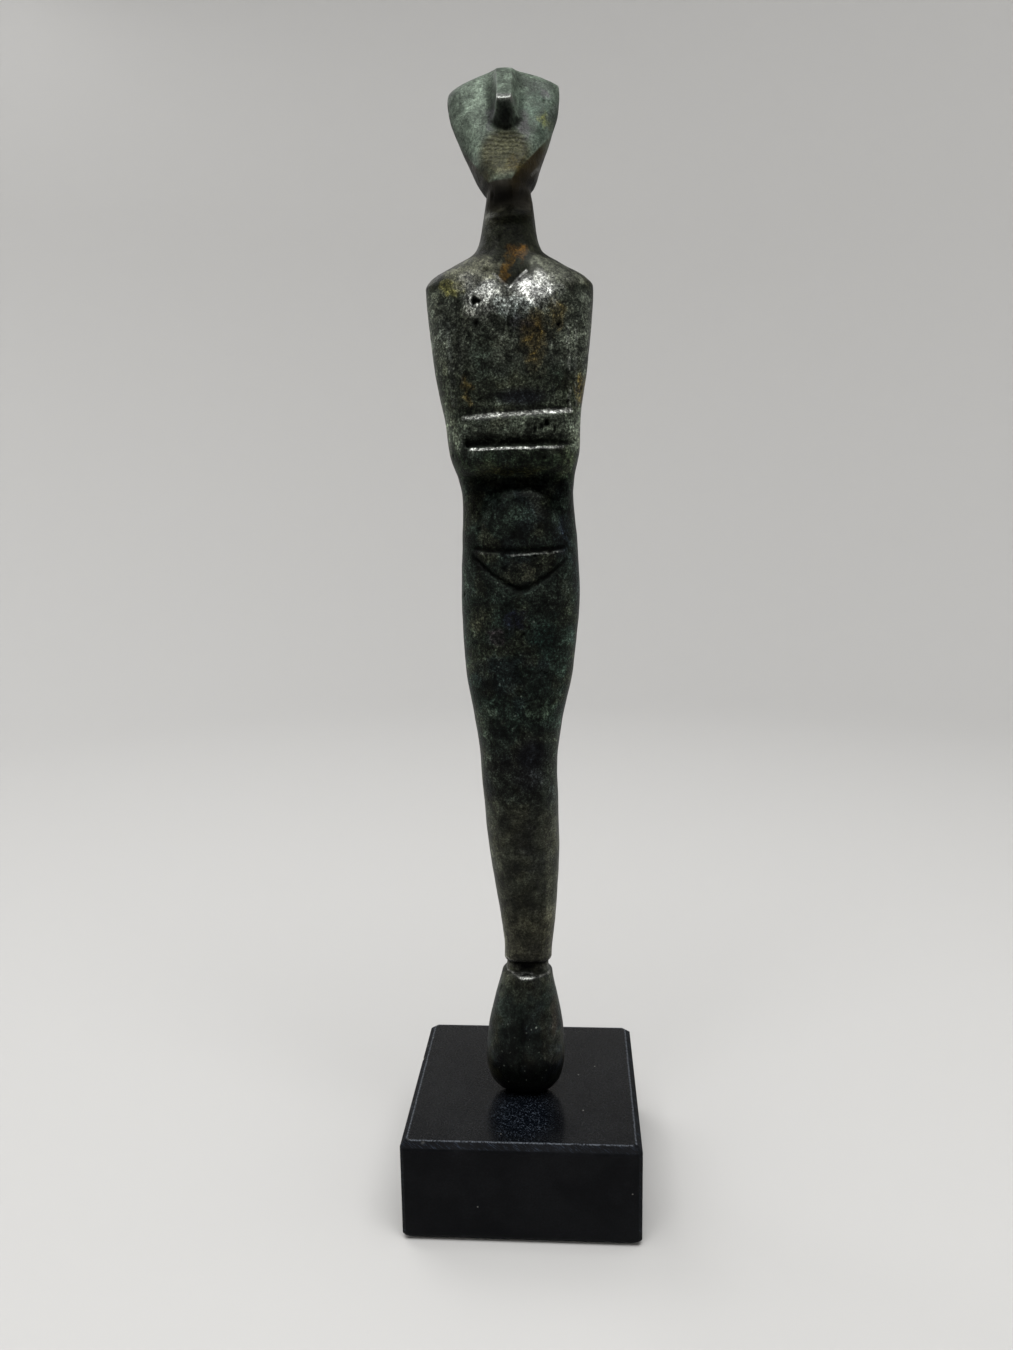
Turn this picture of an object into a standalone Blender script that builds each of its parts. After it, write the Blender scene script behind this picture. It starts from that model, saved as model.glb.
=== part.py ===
"""A cast bronze idol of the Cycladic folded-arm kind, fixed on a bevelled block of dark stone.

Metres, +Z up, and the figure faces -Y. The origin is the centre of the block's underside.
"""

import math

import bmesh
import bpy
import numpy as np

# Driving sizes, in metres
FIGURE_HEIGHT = 0.195
BLOCK_SIDE = 0.045
BLOCK_HEIGHT = 0.020
BLOCK_BEVEL = 0.0011
BLOCK_CORNER_BEVEL = 0.0007
SEAT_GAP = 0.0003

# How many rings and points the figure's surface has
ROWS = 100
FRONT_COLUMNS = 28
BACK_COLUMNS = 18

# From here on the figure is drawn in units that are millimetres at its real height. A profile is
# a list of (height above the sole, value) that a smooth curve joins.
CROWN = 194.3
HALF_WIDTH = (
    (0.0, 3.9), (1.2, 5.4), (3.5, 7.1), (7.5, 7.85), (12.5, 7.5), (18.0, 6.35), (23.6, 5.0),
    (27.0, 4.75), (34.5, 5.5), (43.0, 6.4), (52.0, 7.05), (60.0, 7.2), (68.0, 7.45),
    (76.0, 8.5), (86.0, 10.35), (99.0, 11.2), (110.0, 10.8), (118.0, 10.35), (121.0, 10.8),
    (126.0, 12.1), (131.5, 12.5), (140.0, 13.9), (152.0, 15.05), (154.9, 15.15), (156.5, 14.0),
    (158.8, 10.0), (161.2, 6.1), (163.3, 5.2), (169.0, 4.3), (171.2, 3.95), (172.4, 4.8),
    (176.4, 6.4), (182.5, 8.7), (187.5, 9.9), (CROWN, 10.45),
)
CENTRE = (
    (0.0, -3.7), (3.5, -3.5), (7.5, -3.0), (13.0, -1.6), (19.0, 0.2), (27.5, 1.6), (36.0, 1.6),
    (48.0, 0.8), (65.0, -1.2), (73.0, -1.0), (98.0, 0.3), (108.0, 0.2), (140.0, 0.1),
    (156.0, 0.4), (169.5, 1.2), (171.4, 1.2), (178.0, 3.4), (CROWN, 9.8),
)
FRONT = (
    (0.0, 1.9), (1.2, 3.3), (3.5, 4.8), (7.5, 5.6), (13.0, 6.0), (19.0, 5.9), (24.0, 5.2),
    (27.5, 4.4), (36.0, 4.9), (48.0, 5.8), (65.0, 6.0), (86.0, 6.5), (98.0, 6.8), (108.0, 6.3),
    (116.0, 5.0), (119.6, 4.6), (121.3, 4.7), (122.3, 5.8), (123.5, 6.7), (128.0, 7.0),
    (134.0, 6.9), (145.0, 6.3), (150.5, 6.3), (155.0, 5.5), (161.5, 4.25), (167.6, 3.95),
    (169.0, 4.5), (170.8, 5.4), (174.0, 4.8), (178.0, 4.1), (CROWN, 2.35),
)
BACK = (
    (0.0, 2.1), (1.2, 3.4), (3.5, 4.9), (7.5, 6.0), (13.0, 6.6), (19.0, 6.3), (24.0, 5.4),
    (27.5, 4.5), (36.0, 4.9), (48.0, 5.7), (65.0, 5.6), (86.0, 6.6), (98.0, 6.8), (108.0, 6.2),
    (118.0, 4.8), (128.0, 5.2), (150.0, 6.2), (156.0, 5.8), (161.0, 4.6), (169.5, 3.7),
    (171.4, 4.2), (178.0, 4.9), (188.0, 4.5), (CROWN, 3.2),
)
LEAN = (
    (0.0, 0.3), (8.0, 0.25), (20.0, 0.45), (30.0, 0.9), (57.0, 0.0), (68.0, -0.4), (86.0, -0.15),
    (100.0, 0.25), (110.0, 0.2), (118.0, -0.05), (125.0, -0.5), (140.0, -1.0), (154.0, -1.1),
    (157.5, -1.4), (163.0, -1.1), (172.0, -1.05), (176.0, -1.45), (183.0, -1.85), (CROWN, -2.3),
)
TILT = ((0.0, 0.0), (168.0, 0.0), (170.8, 7.0), (177.0, 24.0), (CROWN, 27.0))
ROLL = (
    (0.0, 0.0), (113.0, 0.0), (119.0, 0.6), (128.0, 0.7), (133.0, 2.6), (146.0, 0.0), (163.0, 0.0),
    (170.4, 6.5), (178.0, 3.5), (CROWN, 1.6),
)
FLATNESS = (
    (0.0, 2.2), (90.0, 2.3), (125.0, 3.2), (153.0, 3.3), (163.0, 2.1), (170.0, 2.4), (175.0, 3.3),
    (CROWN, 3.5),
)

# The head: how its crown rounds over, arches and turns its corners
CROWN_ROUND = 3.6
CROWN_EDGE = 0.06
CROWN_ARCH = 3.4
ARCH_POWER = 1.9
ARCH_FOOT = 181.0
CORNER_LEFT = 0.09
CORNER_RIGHT = 0.03
HEAD_CROWDING = 0.45
CROWDING_ENDS = (160.0, 172.0)

# The nose
NOSE_TIP = 182.6
NOSE_FOOT = 180.3
NOSE_DEPTH = 4.5
NOSE_TOP_DEPTH = 0.5
NOSE_ROUNDING = 0.7
NOSE_HOLLOW = 2.8
NOSE_HALF = 0.95
NOSE_TOP_HALF = 1.3
NOSE_WALL = 2.1
NOSE_ARCH = 0.26
NOSE_RISE = 0.65

# The jaw: a line across the chin that climbs each side of the face, below which it is cut back.
# Each side has where its line leaves the chin, and its slope.
CHIN_LINE = 170.9
JAW_LEFT = (-2.45, 1.4)
JAW_RIGHT = (0.8, 1.37)
JAW_SLOPE = 0.5
JAW_ROUNDING = 0.22
JAW_FOOT = (166.5, 169.5)

# The V of the neck, with the chest's raised edge under it, and the breasts
NECK_POINT = (0.35, 153.8)
NECK_SLOPE = 0.9
PLATE_STEP = 0.85
PLATE_EDGE = 0.8
PLATE_WIDENING = 0.5
PLATE_HALF = 2.0
PLATE_FADE = 5.0
PLATE_FOOT = 140.0
BREASTS = (-3.8, 4.9)
BREAST_HEIGHT = 149.6
BREAST_HALF = 4.6
BREAST_ABOVE = 6.0
BREAST_BELOW = 3.6
BREAST_REACH = 1.25
BREAST_DEPTH = 1.1

# The arms: the lines down inside the upper arms, and the two forearms
ARM_LINES = (-9.0, 11.7)
ARM_LINE_DEPTH = 0.22
ARM_LINE_HALF = 1.5
ARM_LINE_TOP = 152.0
ARM_LINE_FADE = 3.0
ARM_TOP = 132.8
ARM_TOP_SAG = 0.001
ARM_PARTING = 126.9
ARM_PARTING_DEPTH = 1.3
ARM_ROLL = 3.2
ARM_ROLL_POWER = 1.7
ARM_LIP = (0.9, 0.55)
LEDGE_RUN = 1.3
LEDGE_ROUNDING = 0.4
CHEST_SINK = 1.2
CHEST_SINK_ENDS = (147.0, 136.0)
CHEST_SIDE_RUN = 1.5
STEP_RUN = 0.8

# The belly, an oval dome
BELLY_MIDDLE = (0.7, 108.0)
BELLY_HALF = (8.7, 11.3)
BELLY_POWER = 3.2
BELLY_EDGE = (1.05, 0.8)
BELLY_FADE = 6.0
BELLY_DEPTH = 1.25

# The pubic triangle's cuts
LOIN_TOP = 107.6
LOIN_SAG = 0.010
LOIN_MIDDLE = 0.5
LOIN_POINT = 100.6
LOIN_SLOPE = 0.35
LOIN_CURVE = 0.042
LOIN_HALF = 8.4
LOIN_FADE = 1.4
LOIN_DEPTH = 0.6
LOIN_SLANT = 1.6
LOIN_LIP = 0.5
LOIN_CUT = 0.95

# The legs, ankles and feet
LEG_LINE_DEPTH = 0.2
LEG_LINE_HALF = 2.4
LEG_LINE_ENDS = (80.0, 98.0)
LEG_LINE_FADE = 10.0
ANKLE = 24.6
ANKLE_HALF = 0.95
ANKLE_CUT = 0.14
ANKLE_EDGE = 0.5
ANKLE_ARCH = 0.5
NOTCH_DEPTH = 1.3
NOTCH_HALF = 4.6
CLEFT_DEPTH = 0.12
CLEFT_HALF = 0.9
CLEFT_PLACE = -0.9
CLEFT_ENDS = (6.0, 18.0)
CLEFT_FADE = 3.0

# The back
SPINE_DEPTH = 0.6
SPINE_HALF = 1.3
SPINE_ENDS = (100.0, 160.0)
SPINE_FADE = 6.0
BACK_ARM_OUT = 10.6
BACK_ARM_ENDS = (128.0, 150.0)
BACK_LEG_DEPTH = 0.8
BACK_LEG_ENDS = (32.0, 92.0)

# Places where the rings crowd together: height, spread and weight
ROW_FOCUS = (
    (1.5, 3.0, 1.5), (ANKLE, 2.0, 2.5), (LOIN_POINT, 1.6, 1.6), (LOIN_TOP, 1.2, 2.2), (118.6, 1.5, 1.4),
    (122.0, 1.2, 1.6), (ARM_PARTING, 0.8, 3.5), (ARM_TOP - 0.6, 0.9, 3.0), (152.0, 3.0, 1.0),
    (158.0, 3.0, 1.8), (170.5, 1.8, 2.6), (181.5, 1.6, 2.6), (183.0, 8.0, 0.8), (CROWN, 1.5, 3.0),
)
PLAIN_ROWS = 0.5
ROW_SAMPLES = 4000

# In front the rings bend along the curved cuts. Each guide is a ring's height at the middle, and how
# it rises sideways: by its slope times the distance out, and its curve times the distance squared.
ROW_GUIDES = (
    (15.0, 0.0, 0.0), (ANKLE + ANKLE_ARCH, 0.0, -0.03), (35.0, 0.0, 0.0), (95.0, 0.0, 0.0),
    (LOIN_POINT, LOIN_SLOPE, LOIN_CURVE), (LOIN_TOP, 0.0, LOIN_SAG), (112.0, 0.0, 0.0),
    (119.2, 0.0, -0.042), (121.4, 0.0, 0.0), (128.0, 0.0, 0.0), (ARM_TOP - 0.5, 0.0, -ARM_TOP_SAG),
    (149.0, 0.0, 0.0), (NECK_POINT[1], NECK_SLOPE, 0.0), (168.0, 0.0, 0.0),
)
GUIDE_REACH = 8.6
GUIDE_SHARE = 0.6
BENDING_STEPS = 40

BRONZE = (0.030, 0.036, 0.030, 1.0)
STONE = (0.012, 0.013, 0.015, 1.0)


def smooth(value, start, end):
    """0 at start and 1 at end, with a soft S between them. Start may be the larger."""
    share = np.clip((value - start) / (end - start), 0.0, 1.0)
    return share * share * (3.0 - 2.0 * share)


def within(value, low, high, run):
    """1 between low and high, falling to 0 over a run outside them."""
    return smooth(value, low - run, low) * smooth(value, high + run, high)


def groove(distance, half):
    """The section of a rounded cut: 1 on its line, and 0 at its half width."""
    return 1.0 - smooth(np.abs(distance), 0.0, half)


def soft_least(first, second, blend):
    """The smaller of two values, rounded over where they meet."""
    share = np.clip(0.5 + 0.5 * (second - first) / np.maximum(blend, 1e-6), 0.0, 1.0)
    return second + (first - second) * share - blend * share * (1.0 - share)


def profile(points, heights):
    """The smooth curve through a profile's points, which never swings past them."""
    at, values = np.array(points).T
    steps = np.diff(at)
    slopes = np.diff(values) / steps
    before, after = slopes[:-1], slopes[1:]
    same_way = before * after > 0.0
    mean = 2.0 * before * after / np.where(same_way, before + after, 1.0)
    tangents = np.concatenate([slopes[:1], np.where(same_way, mean, 0.0), slopes[-1:]])
    i = np.clip(np.searchsorted(at, heights) - 1, 0, len(steps) - 1)
    t = (heights - at[i]) / steps[i]
    rise = values[i] + (values[i + 1] - values[i]) * t * t * (3.0 - 2.0 * t)
    bend = t * (1.0 - t) * ((1.0 - t) * tangents[i] - t * tangents[i + 1])
    return rise + bend * steps[i]


def row_heights(rows):
    """The heights of the rings, closer together where there is carving."""
    fine = np.linspace(0.0, CROWN, ROW_SAMPLES)
    density = np.full_like(fine, PLAIN_ROWS)
    for height, spread, weight in ROW_FOCUS:
        density += weight * np.exp(-(((fine - height) / spread) ** 2))
    total = np.concatenate([[0.0], np.cumsum((density[1:] + density[:-1]) / 2.0)])
    return np.interp(np.linspace(0.0, total[-1], rows), total, fine)


def nose(x, z):
    """A long narrow wedge with hollow flanks, which starts at the crown and is cut off under its tip."""
    under = NOSE_DEPTH * (z - NOSE_FOOT - NOSE_ARCH * x * x) / (NOSE_TIP - NOSE_FOOT)
    half = np.interp(z, (NOSE_TIP, CROWN), (NOSE_HALF, NOSE_TOP_HALF))
    flank = 1.0 - np.clip((np.abs(x) - half) / NOSE_WALL, 0.0, 1.0)
    ridge = np.interp(z, (NOSE_TIP, CROWN), (NOSE_DEPTH, NOSE_TOP_DEPTH)) * flank**NOSE_HOLLOW
    return np.maximum(soft_least(under, ridge, NOSE_ROUNDING * flank), 0.0)


def jaw(x, z):
    """The sides of the jaw, cut back below a line that climbs from the chin."""
    cut = 0.0
    for side, (start, slope) in ((-1.0, JAW_LEFT), (1.0, JAW_RIGHT)):
        cut = np.maximum(cut, side * slope * (x - start))
    below = CHIN_LINE + cut - z
    below = -soft_least(-below, 0.0, JAW_ROUNDING)
    return -JAW_SLOPE * below * smooth(z, *JAW_FOOT)


def chest(x, z):
    """The chest's raised edge along the V of the neck, and two low breasts."""
    middle, point = NECK_POINT
    out = np.abs(x - middle)
    edge = point + NECK_SLOPE * out
    plate = smooth(z, edge + PLATE_EDGE, edge - PLATE_WIDENING * out)
    plate = plate * smooth(out, PLATE_HALF + PLATE_FADE, PLATE_HALF) * smooth(z, PLATE_FOOT, point)
    tall = np.where(z > BREAST_HEIGHT, BREAST_ABOVE, BREAST_BELOW)
    swell = 0.0
    for side in BREASTS:
        far = np.hypot(((x - side) / BREAST_HALF) ** 2, (z - BREAST_HEIGHT) / tall)
        swell = np.maximum(swell, 1.0 - smooth(far, 0.0, BREAST_REACH))
    return PLATE_STEP * plate + BREAST_DEPTH * swell


def arms(x, z):
    """The chest sunk between the upper arms, and two forearms laid across it, one above the other."""
    left, right = ARM_LINES
    ledge = ARM_TOP - ARM_TOP_SAG * x * x
    slope = (z - ledge + LEDGE_RUN) / LEDGE_RUN
    sunk = -soft_least(-soft_least(slope, 1.0, LEDGE_ROUNDING), 0.0, LEDGE_ROUNDING)
    sunk = sunk * smooth(z, *CHEST_SINK_ENDS)
    sunk = sunk * within(x, left + CHEST_SIDE_RUN, right - CHEST_SIDE_RUN, CHEST_SIDE_RUN)
    run, share = ARM_LIP
    lip = share * (z - ARM_PARTING + run) / run
    lip = np.maximum(np.maximum(lip, 1.0 + (z - ARM_PARTING) * 2.0 / run), 0.0)
    roll = smooth(z, ARM_PARTING + ARM_ROLL, ARM_PARTING) ** ARM_ROLL_POWER
    parting = np.where(z > ARM_PARTING, roll, lip) * within(x, left + STEP_RUN, right - STEP_RUN, STEP_RUN)
    lines = groove(x - left, ARM_LINE_HALF) + groove(x - right, ARM_LINE_HALF)
    lines = lines * within(z, ARM_TOP, ARM_LINE_TOP, ARM_LINE_FADE)
    return -CHEST_SINK * sunk - ARM_PARTING_DEPTH * parting - ARM_LINE_DEPTH * lines


def belly(x, z):
    """The belly, a dome with a clear edge under the forearms that sinks into the hips below."""
    middle_x, middle_z = BELLY_MIDDLE
    half_x, half_z = BELLY_HALF
    across = np.abs((x - middle_x) / half_x)
    up = np.abs((z - middle_z) / half_z)
    far = (across**BELLY_POWER + up**BELLY_POWER) ** (1.0 / BELLY_POWER)
    return BELLY_DEPTH * smooth(far, *BELLY_EDGE) * smooth(z, middle_z, middle_z + BELLY_FADE)


def loins(x, z):
    """The pubic triangle: a sagging cut above, and two bowed cuts that meet in a point below."""
    top = LOIN_TOP + LOIN_SAG * x * x
    out = np.abs(x - LOIN_MIDDLE)
    low = LOIN_POINT + LOIN_SLOPE * out + LOIN_CURVE * out**2
    ends = smooth(np.abs(x), LOIN_HALF + LOIN_FADE, LOIN_HALF - LOIN_FADE)
    over = z - top
    upper = np.where(over > 0.0, smooth(over, LOIN_SLANT, 0.0), smooth(over, -LOIN_LIP, 0.0))
    return -LOIN_DEPTH * ends * np.maximum(upper, groove(z - low, LOIN_CUT))


def legs(x, z):
    """A shallow dip between the thighs, the notch over the feet, and a cleft between them."""
    dip = groove(x, LEG_LINE_HALF) * within(z, *LEG_LINE_ENDS, LEG_LINE_FADE)
    middle = groove(x, NOTCH_HALF)
    notch = middle * within(z - ANKLE_ARCH * middle, ANKLE - ANKLE_HALF, ANKLE + ANKLE_HALF, ANKLE_EDGE)
    cleft = groove(x - CLEFT_PLACE, CLEFT_HALF) * within(z, *CLEFT_ENDS, CLEFT_FADE)
    return -LEG_LINE_DEPTH * dip - NOTCH_DEPTH * notch - CLEFT_DEPTH * cleft


def front_carving(x, z):
    return nose(x, z) + jaw(x, z) + chest(x, z) + arms(x, z) + belly(x, z) + loins(x, z) + legs(x, z)


def back_carving(x, z):
    """A spine groove, the inner edges of the upper arms, and the line between the legs."""
    spine = groove(x, SPINE_HALF) * within(z, *SPINE_ENDS, SPINE_FADE)
    arm_lines = groove(np.abs(x) - BACK_ARM_OUT, ARM_LINE_HALF) * within(z, *BACK_ARM_ENDS, ARM_LINE_FADE)
    leg_line = groove(x, LEG_LINE_HALF) * within(z, *BACK_LEG_ENDS, LEG_LINE_FADE)
    return -(SPINE_DEPTH * spine + ARM_LINE_DEPTH * arm_lines + BACK_LEG_DEPTH * leg_line)


def closing(z):
    """How much of its depth a ring keeps: all of it, until the crown rounds over."""
    share = np.clip((z - CROWN + CROWN_ROUND) / CROWN_ROUND, 0.0, 1.0)
    return np.maximum(np.sqrt(1.0 - share * share), CROWN_EDGE)


def girth(z, arch):
    """The groove that rings the ankles, higher in the middle of the front."""
    return 1.0 - ANKLE_CUT * within(z - arch, ANKLE - ANKLE_HALF, ANKLE + ANKLE_HALF, ANKLE_EDGE)


def side_shares(columns, crowding):
    """Places across a half ring, from -1 on one side to 1 on the other, closer in the middle."""
    turn = np.linspace(-1.0, 1.0, columns + 1)
    turn = turn * (1.0 - crowding) + turn**3 * crowding
    return np.sin(turn * math.pi / 2.0)


def bent_rows(z, share):
    """The heights along each ring's front, bent to follow the guides and level again at the sides."""
    middle, slope, curve = np.array(ROW_GUIDES).T
    slope, curve = np.interp(z, middle, slope), np.interp(z, middle, curve)
    bent = z + 0.0 * share
    for _ in range(BENDING_STEPS):
        half = profile(HALF_WIDTH, bent)
        out = np.abs(share) * half
        near = np.minimum(out, GUIDE_REACH)
        hold = smooth(out, half, np.minimum(GUIDE_REACH, GUIDE_SHARE * half))
        bent = (bent + z + (slope * near + curve * near**2) * hold) / 2.0
    return bent


def half_ring(z, share, depths, carving):
    """The points of the front or back of each ring, as x, y and z. Depths are positive forwards."""
    corner = np.where(share < 0.0, CORNER_LEFT, CORNER_RIGHT)
    close = closing(z)
    side = 1.0 if depths is FRONT else -1.0
    ankles = girth(z, ANKLE_ARCH * (1.0 - share**2) * max(side, 0.0))
    width = profile(HALF_WIDTH, z) * ankles * (1.0 - corner * (1.0 - close))
    x = share * width
    bulge = np.sqrt(np.clip(1.0 - np.abs(share) ** profile(FLATNESS, z), 0.0, 1.0))
    out = profile(depths, z) * ankles * bulge + carving(x, z) * (1.0 - share**4)
    out = out * close * side
    tilt = np.radians(profile(TILT, z))
    arch = CROWN_ARCH * smooth(z, ARCH_FOOT, CROWN) * np.abs(share) ** ARCH_POWER
    ridge = NOSE_RISE * smooth(np.abs(x), NOSE_TOP_HALF + 2.0 * NOSE_WALL, 0.0)
    along = ridge * smooth(z, CROWN - CROWN_ROUND, CROWN) - arch
    y = profile(CENTRE, z) - out * np.cos(tilt) + along * np.sin(tilt)
    up = z + out * np.sin(tilt) + along * np.cos(tilt)
    up = up + x * np.tan(np.radians(profile(ROLL, z)))
    return np.stack([x + profile(LEAN, z), y, up], axis=-1)


def figure_rings():
    """All rings of the figure, in units: an array of rows, points and x, y, z."""
    z = row_heights(ROWS)[:, None]
    across = side_shares(FRONT_COLUMNS, HEAD_CROWDING * smooth(z, *CROWDING_ENDS))
    front = half_ring(bent_rows(z, across), across, FRONT, front_carving)
    across = side_shares(BACK_COLUMNS, 0.0)[::-1]
    back = half_ring(z + 0.0 * across, across, BACK, back_carving)
    return np.concatenate([front, back[:, 1:-1]], axis=1)


def material(name, colour, roughness, metallic):
    made = bpy.data.materials.new(name)
    made.use_nodes = True
    shader = made.node_tree.nodes["Principled BSDF"]
    shader.inputs["Base Color"].default_value = colour
    shader.inputs["Roughness"].default_value = roughness
    shader.inputs["Metallic"].default_value = metallic
    return made


def add_object(name, mesh, finish):
    mesh.materials.append(finish)
    made = bpy.data.objects.new(name, mesh)
    bpy.context.scene.collection.objects.link(made)
    return made


def make_idol():
    """The figure, one casting: rings of points joined by faces, with a flat sole and a closed crown."""
    rings = figure_rings()
    rings = rings * (FIGURE_HEIGHT / rings[..., 2].max())
    bm = bmesh.new()
    rows = [[bm.verts.new(point) for point in ring] for ring in rings]
    for below, above in zip(rows, rows[1:]):
        for i in range(len(below)):
            j = (i + 1) % len(below)
            bm.faces.new((below[i], below[j], above[j], above[i]))
    bm.faces.new(rows[0])
    bm.faces.new(rows[-1])
    bmesh.ops.triangulate(bm, faces=bm.faces, quad_method="SHORT_EDGE")
    bmesh.ops.recalc_face_normals(bm, faces=bm.faces)
    mesh = bpy.data.meshes.new("idol")
    bm.to_mesh(mesh)
    bm.free()
    mesh.shade_smooth()
    idol = add_object("idol", mesh, material("patinated_bronze", BRONZE, 0.45, 1.0))
    idol.location.z = BLOCK_HEIGHT + SEAT_GAP


def make_block():
    """The square block, with every edge bevelled flat, and the upright ones less."""
    bm = bmesh.new()
    bmesh.ops.create_cube(bm, size=1.0)
    bmesh.ops.scale(bm, vec=(BLOCK_SIDE, BLOCK_SIDE, BLOCK_HEIGHT), verts=bm.verts)
    bmesh.ops.translate(bm, vec=(0.0, 0.0, BLOCK_HEIGHT / 2.0), verts=bm.verts)
    weights = bm.edges.layers.float.new("bevel_weight_edge")
    for edge in bm.edges:
        upright = abs(edge.verts[0].co.z - edge.verts[1].co.z) > BLOCK_HEIGHT / 2.0
        edge[weights] = BLOCK_CORNER_BEVEL / BLOCK_BEVEL if upright else 1.0
    mesh = bpy.data.meshes.new("stone_base")
    bm.to_mesh(mesh)
    bm.free()
    block = add_object("stone_base", mesh, material("dark_stone", STONE, 0.3, 0.0))
    bevel = block.modifiers.new("edges", "BEVEL")
    bevel.width = BLOCK_BEVEL
    bevel.segments = 1
    bevel.limit_method = "WEIGHT"


def main():
    for old in list(bpy.data.objects):
        bpy.data.objects.remove(old, do_unlink=True)
    make_block()
    make_idol()


main()
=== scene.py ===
"""A cast bronze idol of the Cycladic folded-arm kind on its stone block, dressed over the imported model.

Laid out as an add-on: settings, one operator for each piece and one for the stage, and a panel.
Metres, +Z up, and the figure faces -Y. The origin is the centre of the block's underside.
"""

import math

import bmesh
import bpy
import numpy as np
from bpy.props import FloatProperty, FloatVectorProperty, IntProperty, PointerProperty
from mathutils import Matrix, Vector
from mathutils.bvhtree import BVHTree


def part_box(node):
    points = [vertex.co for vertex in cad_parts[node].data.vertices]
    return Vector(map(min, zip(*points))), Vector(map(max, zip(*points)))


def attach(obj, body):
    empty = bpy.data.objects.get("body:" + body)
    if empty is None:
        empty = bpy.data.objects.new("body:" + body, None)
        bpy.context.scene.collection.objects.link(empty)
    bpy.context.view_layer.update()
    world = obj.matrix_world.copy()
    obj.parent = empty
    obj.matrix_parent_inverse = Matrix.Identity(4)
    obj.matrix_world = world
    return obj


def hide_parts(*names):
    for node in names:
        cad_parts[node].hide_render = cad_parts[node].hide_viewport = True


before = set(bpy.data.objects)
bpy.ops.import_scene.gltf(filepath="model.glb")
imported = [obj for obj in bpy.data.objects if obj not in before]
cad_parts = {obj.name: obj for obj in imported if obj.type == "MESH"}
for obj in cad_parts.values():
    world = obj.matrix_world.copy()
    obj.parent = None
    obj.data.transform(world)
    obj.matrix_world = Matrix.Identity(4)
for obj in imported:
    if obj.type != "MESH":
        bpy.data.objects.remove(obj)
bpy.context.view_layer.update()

bl_info = {
    "name": "Bronze Idol on a Stone Block",
    "version": (1, 0, 0),
    "blender": (4, 5, 0),
    "location": "View3D > Sidebar > Idol",
    "description": "Casts a folded-arm bronze idol, cuts its stone block and lights them",
    "category": "Add Mesh",
}

FIGURE_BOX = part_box("idol")
BLOCK_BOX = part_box("stone_base")
MM = 0.001

# The figure is drawn in units that are millimetres at its real height. A profile is a list of
# (height above the sole, value) that a smooth curve joins.
CROWN = 194.3
HALF_WIDTH = (
    (0.0, 4.0), (0.9, 5.3), (2.1, 6.4), (3.5, 7.15), (7.5, 7.85), (12.5, 7.5), (18.0, 6.35), (23.6, 5.0),
    (27.0, 4.75), (34.5, 5.5), (43.0, 6.4), (52.0, 7.05), (60.0, 7.2), (68.0, 7.45),
    (76.0, 8.5), (86.0, 10.35), (99.0, 11.2), (110.0, 10.8), (118.0, 10.35), (121.0, 10.8),
    (126.0, 12.1), (131.5, 12.5), (140.0, 13.9), (152.0, 15.05), (154.9, 15.15), (156.5, 14.0),
    (158.8, 10.0), (161.2, 6.1), (163.3, 5.2), (169.0, 4.3), (171.2, 3.95), (172.4, 4.8),
    (176.4, 6.4), (182.5, 8.7), (187.5, 9.9), (CROWN, 10.45),
)
CENTRE = (
    (0.0, -3.7), (3.5, -3.5), (7.5, -3.0), (13.0, -1.6), (19.0, 0.2), (27.5, 1.6), (36.0, 1.6),
    (48.0, 0.8), (65.0, -1.2), (73.0, -1.0), (98.0, 0.3), (108.0, 0.2), (140.0, 0.1),
    (156.0, 0.4), (169.5, 1.2), (171.4, 1.2), (178.0, 3.4), (CROWN, 9.8),
)
FRONT = (
    (0.0, 1.9), (0.9, 3.1), (2.1, 4.1), (3.5, 4.8), (7.5, 5.6), (13.0, 6.0), (19.0, 5.9), (24.0, 5.2),
    (27.5, 4.4), (36.0, 4.9), (48.0, 5.8), (65.0, 6.0), (86.0, 6.5), (98.0, 6.8), (108.0, 6.3),
    (116.0, 5.0), (119.6, 4.6), (121.3, 4.7), (122.3, 5.8), (123.5, 6.7), (128.0, 7.0),
    (134.0, 6.9), (145.0, 6.3), (150.5, 6.3), (155.0, 5.5), (161.5, 4.25), (167.6, 3.95),
    (169.0, 4.5), (170.8, 5.4), (174.0, 4.8), (178.0, 4.1), (CROWN, 2.35),
)
BACK = (
    (0.0, 2.1), (1.2, 3.4), (3.5, 4.9), (7.5, 6.0), (13.0, 6.6), (19.0, 6.3), (24.0, 5.4),
    (27.5, 4.5), (36.0, 4.9), (48.0, 5.7), (65.0, 5.6), (86.0, 6.6), (98.0, 6.8), (108.0, 6.2),
    (118.0, 4.8), (128.0, 5.2), (150.0, 6.2), (156.0, 5.8), (161.0, 4.6), (169.5, 3.7),
    (171.4, 4.2), (178.0, 4.9), (188.0, 4.5), (CROWN, 3.2),
)
LEAN = (
    (0.0, 0.3), (8.0, 0.25), (20.0, 0.45), (30.0, 0.9), (57.0, 0.0), (68.0, -0.4), (86.0, -0.15),
    (100.0, 0.25), (110.0, 0.2), (118.0, -0.05), (125.0, -0.5), (140.0, -1.0), (154.0, -1.1),
    (157.5, -1.4), (163.0, -1.1), (172.0, -1.05), (176.0, -1.45), (183.0, -1.85), (CROWN, -2.3),
)
TILT = ((0.0, 0.0), (168.0, 0.0), (170.8, 7.0), (177.0, 24.0), (CROWN, 27.0))
ROLL = (
    (0.0, 0.0), (113.0, 0.0), (119.0, 0.6), (128.0, 0.7), (133.0, 2.6), (146.0, 0.0), (163.0, 0.0),
    (170.4, 6.5), (178.0, 3.5), (CROWN, 1.6),
)
FLATNESS = (
    (0.0, 2.2), (90.0, 2.3), (125.0, 3.2), (153.0, 3.3), (163.0, 2.1), (170.0, 2.4), (175.0, 3.3),
    (CROWN, 3.5),
)

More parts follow.
